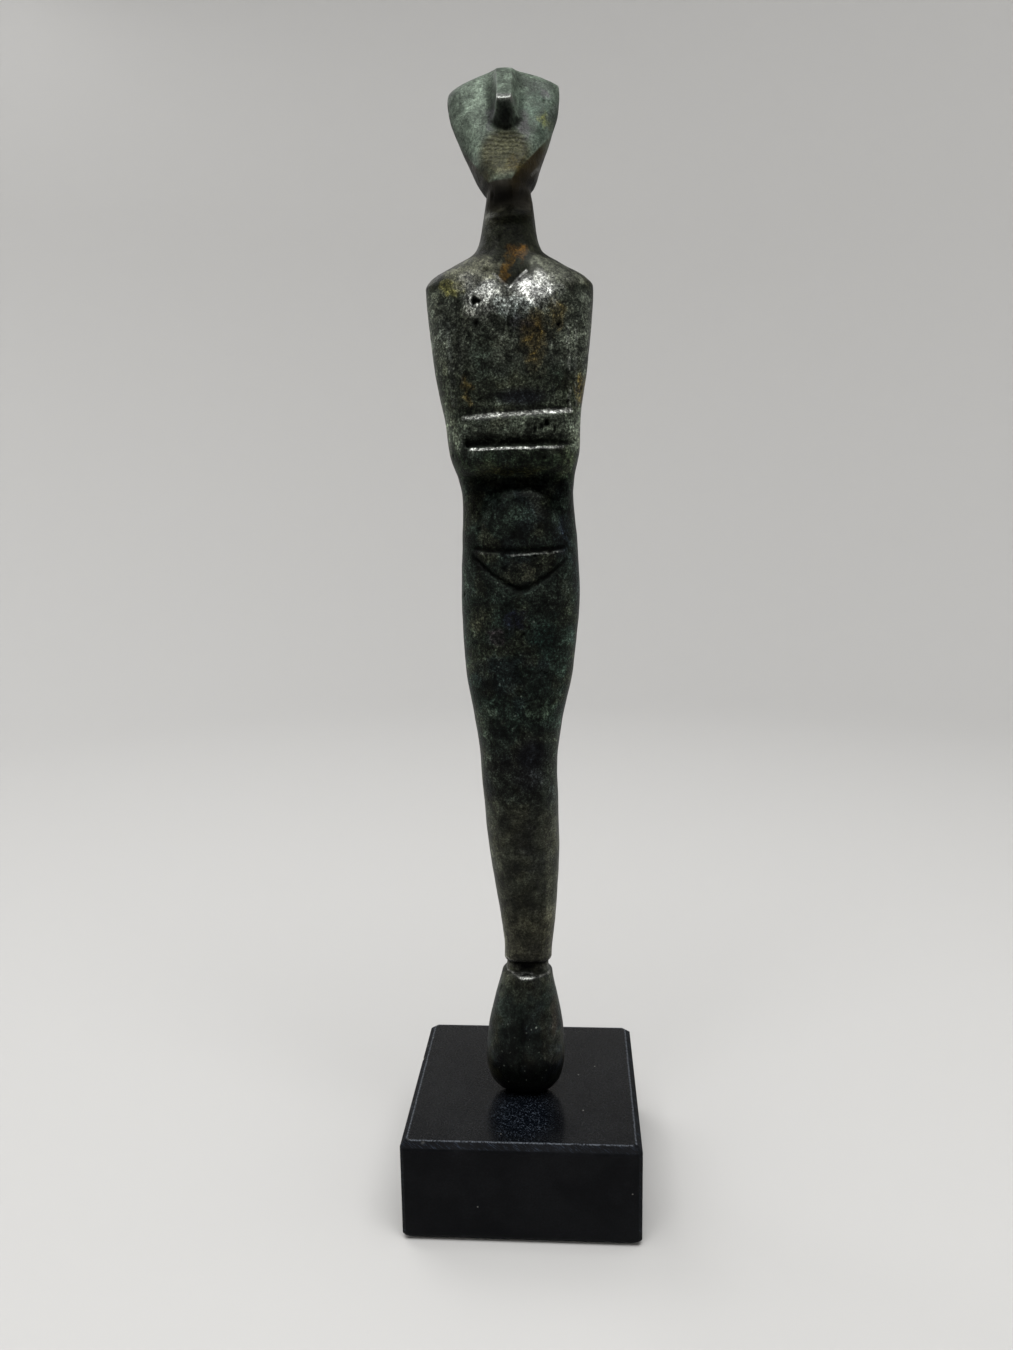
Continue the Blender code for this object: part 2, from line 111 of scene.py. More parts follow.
# The head: how its crown rounds over, arches and turns its corners
CROWN_ROUND = 3.6
CROWN_EDGE = 0.06
CROWN_ARCH = 3.4
ARCH_POWER = 1.9
ARCH_FOOT = 181.0
CORNER_LEFT = 0.09
CORNER_RIGHT = 0.03

# The nose
NOSE_TIP = 182.6
NOSE_FOOT = 180.3
NOSE_DEPTH = 4.5
NOSE_TOP_DEPTH = 0.5
NOSE_ROUNDING = 0.7
NOSE_HOLLOW = 2.8
NOSE_HALF = 1.25
NOSE_TOP_HALF = 1.5
NOSE_WALL = 2.1
NOSE_ARCH = 0.26
NOSE_RISE = 0.65
NOSE_PLACE = 0.4

# The jaw: a line across the chin that climbs each side of the face, below which it is cut back.
# Each side has where its line leaves the chin, and its slope.
CHIN_LINE = 171.6
JAW_LEFT = (-3.2, 1.4)
JAW_RIGHT = (0.9, 1.37)
JAW_SLOPE = 0.5
JAW_ROUNDING = 0.22
JAW_FOOT = (166.5, 169.5)

# The V of the neck, with the chest's raised edge under it, and the breasts
NECK_POINT = (0.35, 153.8)
NECK_SLOPE = 0.9
PLATE_STEP = 0.85
PLATE_EDGE = 0.8
PLATE_WIDENING = 0.5
PLATE_HALF = 2.0
PLATE_FADE = 5.0
PLATE_FOOT = 140.0
BREASTS = (-3.8, 4.9)
BREAST_HEIGHT = 149.6
BREAST_HALF = 4.6
BREAST_ABOVE = 6.0
BREAST_BELOW = 3.6
BREAST_REACH = 1.25
BREAST_DEPTH = 1.1

# The arms: the lines down inside the upper arms, and the two forearms
ARM_LINES = (-9.0, 11.7)
ARM_LINE_DEPTH = 0.22
ARM_LINE_HALF = 1.5
ARM_LINE_TOP = 152.0
ARM_LINE_FADE = 3.0
ARM_TOP = 132.8
ARM_TOP_SAG = 0.001
ARM_PARTING = 126.9
ARM_PARTING_DEPTH = 1.3
ARM_ROLL = 3.2
ARM_ROLL_POWER = 1.7
ARM_LIP = (0.9, 0.55)
LEDGE_RUN = 1.3
LEDGE_ROUNDING = 0.4
CHEST_SINK = 1.2
CHEST_SINK_ENDS = (147.0, 136.0)
CHEST_SIDE_RUN = 1.5
STEP_RUN = 0.8

# The belly, an oval dome
BELLY_MIDDLE = (0.4, 108.0)
BELLY_HALF = (7.6, 11.3)
BELLY_POWER = 2.5
BELLY_EDGE = (1.05, 0.8)
BELLY_FADE = 6.0
BELLY_DEPTH = 0.95

# The pubic triangle's cuts
LOIN_TOP = 107.6
LOIN_SAG = 0.010
LOIN_MIDDLE = 0.5
LOIN_POINT = 100.6
LOIN_SLOPE = 0.35
LOIN_CURVE = 0.042
LOIN_HALF = 8.4
LOIN_FADE = 1.4
LOIN_DEPTH = 0.6
LOIN_SLANT = 1.6
LOIN_LIP = 0.5
LOIN_CUT = 1.15

# The legs, ankles and feet
LEG_LINE_DEPTH = 0.2
LEG_LINE_HALF = 2.4
LEG_LINE_ENDS = (80.0, 98.0)
LEG_LINE_FADE = 10.0
ANKLE = 24.6
ANKLE_HALF = 0.95
ANKLE_CUT = 0.14
ANKLE_EDGE = 0.5
ANKLE_ARCH = 0.5
NOTCH_DEPTH = 1.3
NOTCH_HALF = 4.6
CLEFT_DEPTH = 0.12
CLEFT_HALF = 0.9
CLEFT_PLACE = -0.9
CLEFT_ENDS = (6.0, 18.0)
CLEFT_FADE = 3.0

# The back
SPINE_DEPTH = 0.6
SPINE_HALF = 1.3
SPINE_ENDS = (100.0, 160.0)
SPINE_FADE = 6.0
BACK_ARM_OUT = 10.6
BACK_ARM_ENDS = (128.0, 150.0)
BACK_LEG_DEPTH = 0.8
BACK_LEG_ENDS = (32.0, 92.0)

# Places where the rings crowd together: height, spread and weight
ROW_FOCUS = (
    (1.5, 3.0, 0.6), (ANKLE, 2.0, 1.2), (LOIN_POINT, 2.5, 0.6), (LOIN_TOP, 2.0, 1.0),
    (119.5, 2.0, 0.8), (ARM_PARTING, 1.5, 1.6), (ARM_TOP, 1.5, 1.6), (154.0, 6.0, 0.6),
    (178.0, 5.0, 2.6), (182.0, 3.0, 0.6), (CROWN, 2.0, 1.6),
)
PLAIN_ROWS = 0.7
ROW_SAMPLES = 8000

# In front the rings bend along the curved cuts. Each guide is a ring's height at the middle, and how
# it rises sideways: by its slope times the distance out, and its curve times the distance squared.
ROW_GUIDES = (
    (15.0, 0.0, 0.0), (ANKLE + ANKLE_ARCH, 0.0, -0.03), (35.0, 0.0, 0.0), (95.0, 0.0, 0.0),
    (LOIN_POINT, LOIN_SLOPE, LOIN_CURVE), (LOIN_TOP, 0.0, LOIN_SAG), (112.0, 0.0, 0.0),
    (119.2, 0.0, -0.042), (121.4, 0.0, 0.0), (128.0, 0.0, 0.0), (ARM_TOP - 0.5, 0.0, -ARM_TOP_SAG),
    (149.0, 0.0, 0.0), (NECK_POINT[1], NECK_SLOPE, 0.0), (168.0, 0.0, 0.0),
)
GUIDE_REACH = 8.6
GUIDE_SHARE = 0.6
BENDING_STEPS = 40
HEAD_CROWDING = 0.45
CROWDING_ENDS = (160.0, 172.0)

# The rays that look for what keeps light off a point: their slant and how many are cast round, and how
# far over the surface they start, in metres
SHELTER_RAYS = ((math.radians(20.0), 8), (math.radians(50.0), 6), (math.radians(78.0), 3))
SHELTER_LIFT = 0.00004
SHELTER_FREE = 0.3
SHELTER_REACH = 0.009

# How the mesh's curvature is read: the rounds that even it out, and the curve, in 1 over metres, that
# counts as 1. Edges count as rubbed past a share of theirs.
CUT_READING = (6, 500.0)
WIDE_READING = (14, 260.0)
TIGHT_READING = (3, 700.0)
RUBBED_CURVE = 420.0
RUBBED_PAST = 0.35
PIT_SHARE = 0.8

# The area of the file strokes on the chin, in millimetres: its centre and half sizes. Then, across
# and up, where the jaw's line crosses the chin, the belly's middle, and the point of the neck's V
CHIN_STROKES = ((-1.5, -2.2, 197.9), (5.0, 7.0, 5.6))
CHIN_PLACE = (-1.15, 192.6)
BELLY_PLACE = (0.4, 128.2)
VEE_PLACE = (-0.75, 174.3)

# Where the foot's reflection is painted on the polished top before it, as a darker blue-black ground with
# bright crystals, in millimetres: its centre and half sizes
FOOT_REFLECTION = ((0.0, -13.0, 20.0), (8.0, 11.0, 6.0))

# The block's skin: points along a side and across a corner, rings up a bevel and up a side. Then, in
# metres, the width of the painted highlight line along the top's edge, and how near to the top is on it.
SIDE_POINTS = 200
CORNER_POINTS = 5
BEVEL_RINGS = 8
SIDE_RINGS = 36
RIM_WIDTH = 0.0003
LEVEL = 1e-6

# How steeply the grinding marks slant on the bevels
MARK_SLANT = 1.2

# Casting faults that are larger than the rest: place across, height, half width and depth. Each is
# squashed to a share of its width, wanders from an oval by a share and at a rate, and has a steep wall.
FAULT_SQUASH = 0.75
FAULT_WANDER = 0.25
FAULT_RATE = 5.0
FAULT_WALL = (1.0, 0.45)
FOUND_PITS = (
    (-6.7, 151.6, 1.0, 1.0), (-6.8, 147.8, 0.55, 0.4), (7.6, 147.6, 0.55, 0.4),
    (5.6, 130.5, 0.9, 0.7), (4.6, 129.9, 0.75, 0.5), (3.4, 129.5, 0.55, 0.35), (2.2, 130.2, 0.5, 0.3),
    (6.9, 129.5, 0.5, 0.3), (5.2, 124.6, 0.45, 0.3),
    (-6.6, 135.0, 0.45, 0.3), (9.2, 134.4, 0.4, 0.25), (3.4, 107.0, 0.5, 0.25), (1.0, 92.6, 0.6, 0.3),
)


def smooth(value, start, end):
    """0 at start and 1 at end, with a soft S between them. Start may be the larger."""
    share = np.clip((value - start) / (end - start), 0.0, 1.0)
    return share * share * (3.0 - 2.0 * share)


def within(value, low, high, run):
    """1 between low and high, falling to 0 over a run outside them."""
    return smooth(value, low - run, low) * smooth(value, high + run, high)


def groove(distance, half):
    """The section of a rounded cut: 1 on its line, and 0 at its half width."""
    return 1.0 - smooth(np.abs(distance), 0.0, half)


def soft_least(first, second, blend):
    """The smaller of two values, rounded over where they meet."""
    share = np.clip(0.5 + 0.5 * (second - first) / np.maximum(blend, 1e-6), 0.0, 1.0)
    return second + (first - second) * share - blend * share * (1.0 - share)


def profile(points, heights):
    """The smooth curve through a profile's points, which never swings past them."""
    at, values = np.array(points).T
    steps = np.diff(at)
    slopes = np.diff(values) / steps
    before, after = slopes[:-1], slopes[1:]
    same_way = before * after > 0.0
    mean = 2.0 * before * after / np.where(same_way, before + after, 1.0)
    tangents = np.concatenate([slopes[:1], np.where(same_way, mean, 0.0), slopes[-1:]])
    i = np.clip(np.searchsorted(at, heights) - 1, 0, len(steps) - 1)
    t = (heights - at[i]) / steps[i]
    rise = values[i] + (values[i + 1] - values[i]) * t * t * (3.0 - 2.0 * t)
    bend = t * (1.0 - t) * ((1.0 - t) * tangents[i] - t * tangents[i + 1])
    return rise + bend * steps[i]


def row_heights(rows):
    """The heights of the rings, closer together where there is carving."""
    fine = np.linspace(0.0, CROWN, ROW_SAMPLES)
    density = np.full_like(fine, PLAIN_ROWS)
    for height, spread, weight in ROW_FOCUS:
        density += weight * np.exp(-(((fine - height) / spread) ** 2))
    total = np.concatenate([[0.0], np.cumsum((density[1:] + density[:-1]) / 2.0)])
    return np.interp(np.linspace(0.0, total[-1], rows), total, fine)


def nose(x, z):
    """A long narrow wedge with hollow flanks, which starts at the crown and is cut off under its tip."""
    x = x - NOSE_PLACE
    under = NOSE_DEPTH * (z - NOSE_FOOT - NOSE_ARCH * x * x) / (NOSE_TIP - NOSE_FOOT)
    half = np.interp(z, (NOSE_TIP, CROWN), (NOSE_HALF, NOSE_TOP_HALF))
    flank = 1.0 - np.clip((np.abs(x) - half) / NOSE_WALL, 0.0, 1.0)
    ridge = np.interp(z, (NOSE_TIP, CROWN), (NOSE_DEPTH, NOSE_TOP_DEPTH)) * flank**NOSE_HOLLOW
    return np.maximum(soft_least(under, ridge, NOSE_ROUNDING * flank), 0.0)


def jaw(x, z):
    """The sides of the jaw, cut back below a line that climbs from the chin."""
    cut = 0.0
    for side, (start, slope) in ((-1.0, JAW_LEFT), (1.0, JAW_RIGHT)):
        cut = np.maximum(cut, side * slope * (x - start))
    below = CHIN_LINE + cut - z
    below = -soft_least(-below, 0.0, JAW_ROUNDING)
    return -JAW_SLOPE * below * smooth(z, *JAW_FOOT)


def chest(x, z):
    """The chest's raised edge along the V of the neck, and two low breasts."""
    middle, point = NECK_POINT
    out = np.abs(x - middle)
    edge = point + NECK_SLOPE * out
    plate = smooth(z, edge + PLATE_EDGE, edge - PLATE_WIDENING * out)
    plate = plate * smooth(out, PLATE_HALF + PLATE_FADE, PLATE_HALF) * smooth(z, PLATE_FOOT, point)
    tall = np.where(z > BREAST_HEIGHT, BREAST_ABOVE, BREAST_BELOW)
    swell = 0.0
    for side in BREASTS:
        far = np.hypot(((x - side) / BREAST_HALF) ** 2, (z - BREAST_HEIGHT) / tall)
        swell = np.maximum(swell, 1.0 - smooth(far, 0.0, BREAST_REACH))
    return PLATE_STEP * plate + BREAST_DEPTH * swell


def arms(x, z):
    """The chest sunk between the upper arms, and two forearms laid across it, one above the other."""
    left, right = ARM_LINES
    ledge = ARM_TOP - ARM_TOP_SAG * x * x
    slope = (z - ledge + LEDGE_RUN) / LEDGE_RUN
    sunk = -soft_least(-soft_least(slope, 1.0, LEDGE_ROUNDING), 0.0, LEDGE_ROUNDING)
    sunk = sunk * smooth(z, *CHEST_SINK_ENDS)
    sunk = sunk * within(x, left + CHEST_SIDE_RUN, right - CHEST_SIDE_RUN, CHEST_SIDE_RUN)
    run, share = ARM_LIP
    lip = share * (z - ARM_PARTING + run) / run
    lip = np.maximum(np.maximum(lip, 1.0 + (z - ARM_PARTING) * 2.0 / run), 0.0)
    roll = smooth(z, ARM_PARTING + ARM_ROLL, ARM_PARTING) ** ARM_ROLL_POWER
    parting = np.where(z > ARM_PARTING, roll, lip) * within(x, left + STEP_RUN, right - STEP_RUN, STEP_RUN)
    lines = groove(x - left, ARM_LINE_HALF) + groove(x - right, ARM_LINE_HALF)
    lines = lines * within(z, ARM_TOP, ARM_LINE_TOP, ARM_LINE_FADE)
    return -CHEST_SINK * sunk - ARM_PARTING_DEPTH * parting - ARM_LINE_DEPTH * lines


def belly(x, z):
    """The belly, a dome with a clear edge under the forearms that sinks into the hips below."""
    middle_x, middle_z = BELLY_MIDDLE
    half_x, half_z = BELLY_HALF
    across = np.abs((x - middle_x) / half_x)
    up = np.abs((z - middle_z) / half_z)
    far = (across**BELLY_POWER + up**BELLY_POWER) ** (1.0 / BELLY_POWER)
    return BELLY_DEPTH * smooth(far, *BELLY_EDGE) * smooth(z, middle_z, middle_z + BELLY_FADE)


def loins(x, z):
    """The pubic triangle: a sagging cut above, and two bowed cuts that meet in a point below."""
    top = LOIN_TOP + LOIN_SAG * x * x
    out = np.abs(x - LOIN_MIDDLE)
    low = LOIN_POINT + LOIN_SLOPE * out + LOIN_CURVE * out**2
    ends = smooth(np.abs(x), LOIN_HALF + LOIN_FADE, LOIN_HALF - LOIN_FADE)
    over = z - top
    upper = np.where(over > 0.0, smooth(over, LOIN_SLANT, 0.0), smooth(over, -LOIN_LIP, 0.0))
    return -LOIN_DEPTH * ends * np.maximum(upper, groove(z - low, LOIN_CUT))


def legs(x, z):
    """A shallow dip between the thighs, the notch over the feet, and a cleft between them."""
    dip = groove(x, LEG_LINE_HALF) * within(z, *LEG_LINE_ENDS, LEG_LINE_FADE)
    middle = groove(x, NOTCH_HALF)
    notch = middle * within(z - ANKLE_ARCH * middle, ANKLE - ANKLE_HALF, ANKLE + ANKLE_HALF, ANKLE_EDGE)
    cleft = groove(x - CLEFT_PLACE, CLEFT_HALF) * within(z, *CLEFT_ENDS, CLEFT_FADE)
    return -LEG_LINE_DEPTH * dip - NOTCH_DEPTH * notch - CLEFT_DEPTH * cleft


def front_carving(x, z):
    """All the carving of the front."""
    return nose(x, z) + jaw(x, z) + chest(x, z) + arms(x, z) + belly(x, z) + loins(x, z) + legs(x, z)


def back_carving(x, z):
    """A spine groove, the inner edges of the upper arms, and the line between the legs."""
    spine = groove(x, SPINE_HALF) * within(z, *SPINE_ENDS, SPINE_FADE)
    arm_lines = groove(np.abs(x) - BACK_ARM_OUT, ARM_LINE_HALF) * within(z, *BACK_ARM_ENDS, ARM_LINE_FADE)
    leg_line = groove(x, LEG_LINE_HALF) * within(z, *BACK_LEG_ENDS, LEG_LINE_FADE)
    return -(SPINE_DEPTH * spine + ARM_LINE_DEPTH * arm_lines + BACK_LEG_DEPTH * leg_line)


def closing(z):
    """How much of its depth a ring keeps: all of it, until the crown rounds over."""
    share = np.clip((z - CROWN + CROWN_ROUND) / CROWN_ROUND, 0.0, 1.0)
    return np.maximum(np.sqrt(1.0 - share * share), CROWN_EDGE)


def girth(z, arch):
    """The groove that rings the ankles, higher in the middle of the front."""
    return 1.0 - ANKLE_CUT * within(z - arch, ANKLE - ANKLE_HALF, ANKLE + ANKLE_HALF, ANKLE_EDGE)


def side_shares(columns, crowding):
    """Places across a half ring, from -1 on one side to 1 on the other, closer in the middle."""
    turn = np.linspace(-1.0, 1.0, columns + 1)
    turn = turn * (1.0 - crowding) + turn**3 * crowding
    return np.sin(turn * math.pi / 2.0)


def bent_rows(z, share):
    """The heights along each ring's front, bent to follow the guides and level again at the sides."""
    middle, slope, curve = np.array(ROW_GUIDES).T
    slope, curve = np.interp(z, middle, slope), np.interp(z, middle, curve)
    bent = z + 0.0 * share
    for _ in range(BENDING_STEPS):
        half = profile(HALF_WIDTH, bent)
        out = np.abs(share) * half
        near = np.minimum(out, GUIDE_REACH)
        hold = smooth(out, half, np.minimum(GUIDE_REACH, GUIDE_SHARE * half))
        bent = (bent + z + (slope * near + curve * near**2) * hold) / 2.0
    return bent


def half_ring(z, share, depths, carving):
    """The points of the front or back of each ring, as x, y and z. Depths are positive forwards."""
    corner = np.where(share < 0.0, CORNER_LEFT, CORNER_RIGHT)
    close = closing(z)
    side = 1.0 if depths is FRONT else -1.0
    ankles = girth(z, ANKLE_ARCH * (1.0 - share**2) * max(side, 0.0))
    width = profile(HALF_WIDTH, z) * ankles * (1.0 - corner * (1.0 - close))
    x = share * width
    bulge = np.sqrt(np.clip(1.0 - np.abs(share) ** profile(FLATNESS, z), 0.0, 1.0))
    out = profile(depths, z) * ankles * bulge + carving(x, z) * (1.0 - share**4)
    out = out * close * side
    tilt = np.radians(profile(TILT, z))
    arch = CROWN_ARCH * smooth(z, ARCH_FOOT, CROWN) * np.abs(share) ** ARCH_POWER
    ridge = NOSE_RISE * smooth(np.abs(x), NOSE_TOP_HALF + 2.0 * NOSE_WALL, 0.0)
    along = ridge * smooth(z, CROWN - CROWN_ROUND, CROWN) - arch
    y = profile(CENTRE, z) - out * np.cos(tilt) + along * np.sin(tilt)
    up = z + out * np.sin(tilt) + along * np.cos(tilt)
    up = up + x * np.tan(np.radians(profile(ROLL, z)))
    return np.stack([x + profile(LEAN, z), y, up], axis=-1)


def figure_rings(rows, front_columns, back_columns):
    """All rings of the figure, in units: an array of rows, points and x, y, z."""
    z = row_heights(rows)[:, None]
    across = side_shares(front_columns, HEAD_CROWDING * smooth(z, *CROWDING_ENDS))
    front = half_ring(bent_rows(z, across), across, FRONT, front_carving)
    across = side_shares(back_columns, 0.0)[::-1]
    back = half_ring(z + 0.0 * across, across, BACK, back_carving)
    return np.concatenate([front, back[:, 1:-1]], axis=1)


def ring_mesh(name, rings):
    """A closed mesh through rings of points, capped below and above."""
    rows, columns = rings.shape[:2]
    here = np.arange(columns)
    following = (here + 1) % columns
    faces = []
    for row in range(rows - 1):
        low, high = row * columns, (row + 1) * columns
        faces += np.stack([low + here, low + following, high + following, high + here], axis=1).tolist()
    faces.append(here[::-1].tolist())
    faces.append((here + (rows - 1) * columns).tolist())
    mesh = bpy.data.meshes.new(name)
    mesh.from_pydata(rings.reshape(-1, 3).tolist(), [], faces)
    mesh.validate()
    bm = bmesh.new()
    bm.from_mesh(mesh)
    bmesh.ops.recalc_face_normals(bm, faces=bm.faces)
    bm.to_mesh(mesh)
    bm.free()
    mesh.shade_smooth()
    return mesh


def add_object(name, data):
    """A new object in the scene, at the origin."""
    made = bpy.data.objects.new(name, data)
    bpy.context.scene.collection.objects.link(made)
    return made


class Num:
    """A number in a node tree. Arithmetic on it adds the Math nodes that work it out."""

    def __init__(self, graph, socket):
        self.graph = graph
        self.socket = socket

    def __add__(self, other):
        return self.graph.maths("ADD", self, other)

    __radd__ = __add__

    def __mul__(self, other):
        return self.graph.maths("MULTIPLY", self, other)

    __rmul__ = __mul__

    def __sub__(self, other):
        return self.graph.maths("SUBTRACT", self, other)

    def __rsub__(self, other):
        return self.graph.maths("SUBTRACT", other, self)

    def __truediv__(self, other):
        return self.graph.maths("DIVIDE", self, other)

    def __pow__(self, other):
        return self.graph.maths("POWER", self, other)

    def __rpow__(self, other):
        return self.graph.maths("POWER", other, self)

    def __abs__(self):
        return self.graph.maths("ABSOLUTE", self)


class Graph:
    """A node tree, shader or geometry, written as Python expressions."""

    def __init__(self, tree):
        self.tree = tree
        tree.nodes.clear()

    def node(self, kind, settings=None, inputs=None):
        """Adds a node: its settings first, then values or links for its sockets."""
        made = self.tree.nodes.new(kind)
        for name, value in (settings or {}).items():
            setattr(made, name, value)
        for key, value in (inputs or {}).items():
            self.feed(made.inputs[key], value)
        return made

    def feed(self, socket, value):
        """Links a value to a socket, or sets it there."""
        if isinstance(value, Num):
            value = value.socket
        if isinstance(value, bpy.types.NodeSocket):
            self.tree.links.new(value, socket)
        else:
            socket.default_value = value

    def maths(self, operation, *values):
        """A Math node's result."""
        made = self.node("ShaderNodeMath", {"operation": operation}, dict(enumerate(values)))
        return Num(self, made.outputs[0])

    def vector(self, operation, *values):
        """A Vector Math node's vector."""
        made = self.node("ShaderNodeVectorMath", {"operation": operation}, dict(enumerate(values)))
        return made.outputs["Vector"]

    def scaled(self, vector, factor):
        """A vector times a number."""
        made = self.node("ShaderNodeVectorMath", {"operation": "SCALE"}, {"Vector": vector, "Scale": factor})
        return made.outputs["Vector"]

    def length(self, vector):
        """A vector's length."""
        made = self.node("ShaderNodeVectorMath", {"operation": "LENGTH"}, {0: vector})
        return Num(self, made.outputs["Value"])

    def parts(self, vector):
        """A vector's x, y and z."""
        made = self.node("ShaderNodeSeparateXYZ", None, {0: vector})
        return [Num(self, output) for output in made.outputs]

    def join(self, x, y, z):
        """A vector from its x, y and z."""
        return self.node("ShaderNodeCombineXYZ", None, {0: x, 1: y, 2: z}).outputs[0]

    def soft(self, value, start, end):
        """0 at start and 1 at end, with a soft S between them."""
        made = self.node(
            "ShaderNodeMapRange", {"interpolation_type": "SMOOTHSTEP"}, {"Value": value, 1: start, 2: end}
        )
        return Num(self, made.outputs["Result"])

    def band(self, value, rise, fall):
        """1 between two fades, and 0 outside them."""
        return self.soft(value, *rise) * self.soft(value, *fall)

    def noise(self, place, size, detail=3.0, roughness=0.55):
        """Cloudy noise from 0 to 1 whose blobs are about that size, in the units of place."""
        inputs = {"Vector": place, "Scale": 1.0 / size, "Detail": detail, "Roughness": roughness}
        return Num(self, self.node("ShaderNodeTexNoise", None, inputs).outputs[0])

    def cells(self, place, scale):
        """The distance to the nearest of many scattered points, in units of their spacing."""
        made = self.node("ShaderNodeTexVoronoi", {"feature": "F1"}, {"Vector": place, "Scale": scale})
        return Num(self, made.outputs["Distance"])

    def largest(self, first, *others):
        """The largest of several numbers."""
        for other in others:
            first = self.maths("MAXIMUM", first, other)
        return first

    def clamped(self, value):
        """A number kept between 0 and 1."""
        return Num(self, self.node("ShaderNodeClamp", None, {"Value": value}).outputs[0])

    def mix(self, share, first, second):
        """A colour between two others."""
        made = self.node("ShaderNodeMix", {"data_type": "RGBA"}, {0: share, 6: first, 7: second})
        return made.outputs[2]

    def brighter(self, colour, factor):
        """A colour times a number."""
        grey = self.node("ShaderNodeCombineColor", None, {0: factor, 1: factor, 2: factor}).outputs[0]
        settings = {"data_type": "RGBA", "blend_type": "MULTIPLY"}
        return self.node("ShaderNodeMix", settings, {0: 1.0, 6: colour, 7: grey}).outputs[2]


def new_material(name):
    """A material with nothing in it, its graph, and the point on the piece in millimetres."""
    made = bpy.data.materials.new(name)
    made.use_nodes = True
    graph = Graph(made.node_tree)
    here = graph.node("ShaderNodeTexCoord").outputs["Object"]
    return made, graph, graph.scaled(here, 1.0 / MM)


def finish_material(graph, bump_height, bump_depth, inputs):
    """The surface: a bumped Principled shader."""
    bump = graph.node("ShaderNodeBump", None, {"Distance": bump_depth, "Height": bump_height})
    shader = graph.node("ShaderNodeBsdfPrincipled", None, {**inputs, "Normal": bump.outputs["Normal"]})
    graph.node("ShaderNodeOutputMaterial", None, {"Surface": shader.outputs["BSDF"]})


def patch(graph, place, centre, half_sizes):
    """1 in an oval about a centre, falling softly to 0 at its edge."""
    away = graph.vector("SUBTRACT", place, centre)
    away = graph.vector("DIVIDE", away, half_sizes)
    return graph.soft(graph.length(away), 1.0, 0.35)


def line(graph, x, z, start, end, half):
    """1 along a line drawn on the front, falling softly to 0 at its half width."""
    along = Vector(end) - Vector(start)
    length = along.length
    along.normalize()
    out, up = x - start[0], z - start[1]
    reach = graph.maths("MINIMUM", graph.largest(out * along.x + up * along.y, 0.0), length)
    out, up = out - reach * along.x, up - reach * along.y
    return graph.soft(graph.maths("SQRT", out * out + up * up), half, 0.3 * half)


def attribute(graph, name):
    """A number that is stored on the piece's mesh."""
    return Num(graph, graph.node("ShaderNodeAttribute", {"attribute_name": name}).outputs["Fac"])


# How the bronze changes up the figure: bottom, top and fade in millimetres, and colour
ZONES = (
    # The lowest bands make the feet darker towards the sole, where they turn down from the light: painted
    # shade.
    (15.0, 30.0, 3.5, (0.0010, 0.0014, 0.0011)),
    (30.0, 36.0, 3.0, (0.0036, 0.0050, 0.0042)),
    (36.0, 44.5, 2.0, (0.0080, 0.0110, 0.0090)),
    (44.5, 60.0, 4.0, (0.0205, 0.0205, 0.0140)),
    (58.0, 80.0, 5.0, (0.0155, 0.0168, 0.0122)),
    (80.0, 92.0, 4.0, (0.0066, 0.0082, 0.0062)),
    (92.0, 122.0, 5.0, (0.0046, 0.0074, 0.0056)),
    (122.0, 141.0, 3.0, (0.0042, 0.0062, 0.0047)),
    (141.0, 146.5, 1.5, (0.0072, 0.0108, 0.0062)),
    (146.5, 152.0, 1.5, (0.0290, 0.0345, 0.0255)),
    (152.0, 161.0, 3.0, (0.0135, 0.0162, 0.0112)),
    (161.0, 174.0, 3.0, (0.0232, 0.0264, 0.0203)),
    (174.0, 191.0, 3.0, (0.0056, 0.0063, 0.0038)),
    (191.0, 220.0, 2.0, (0.072, 0.091, 0.071)),
)
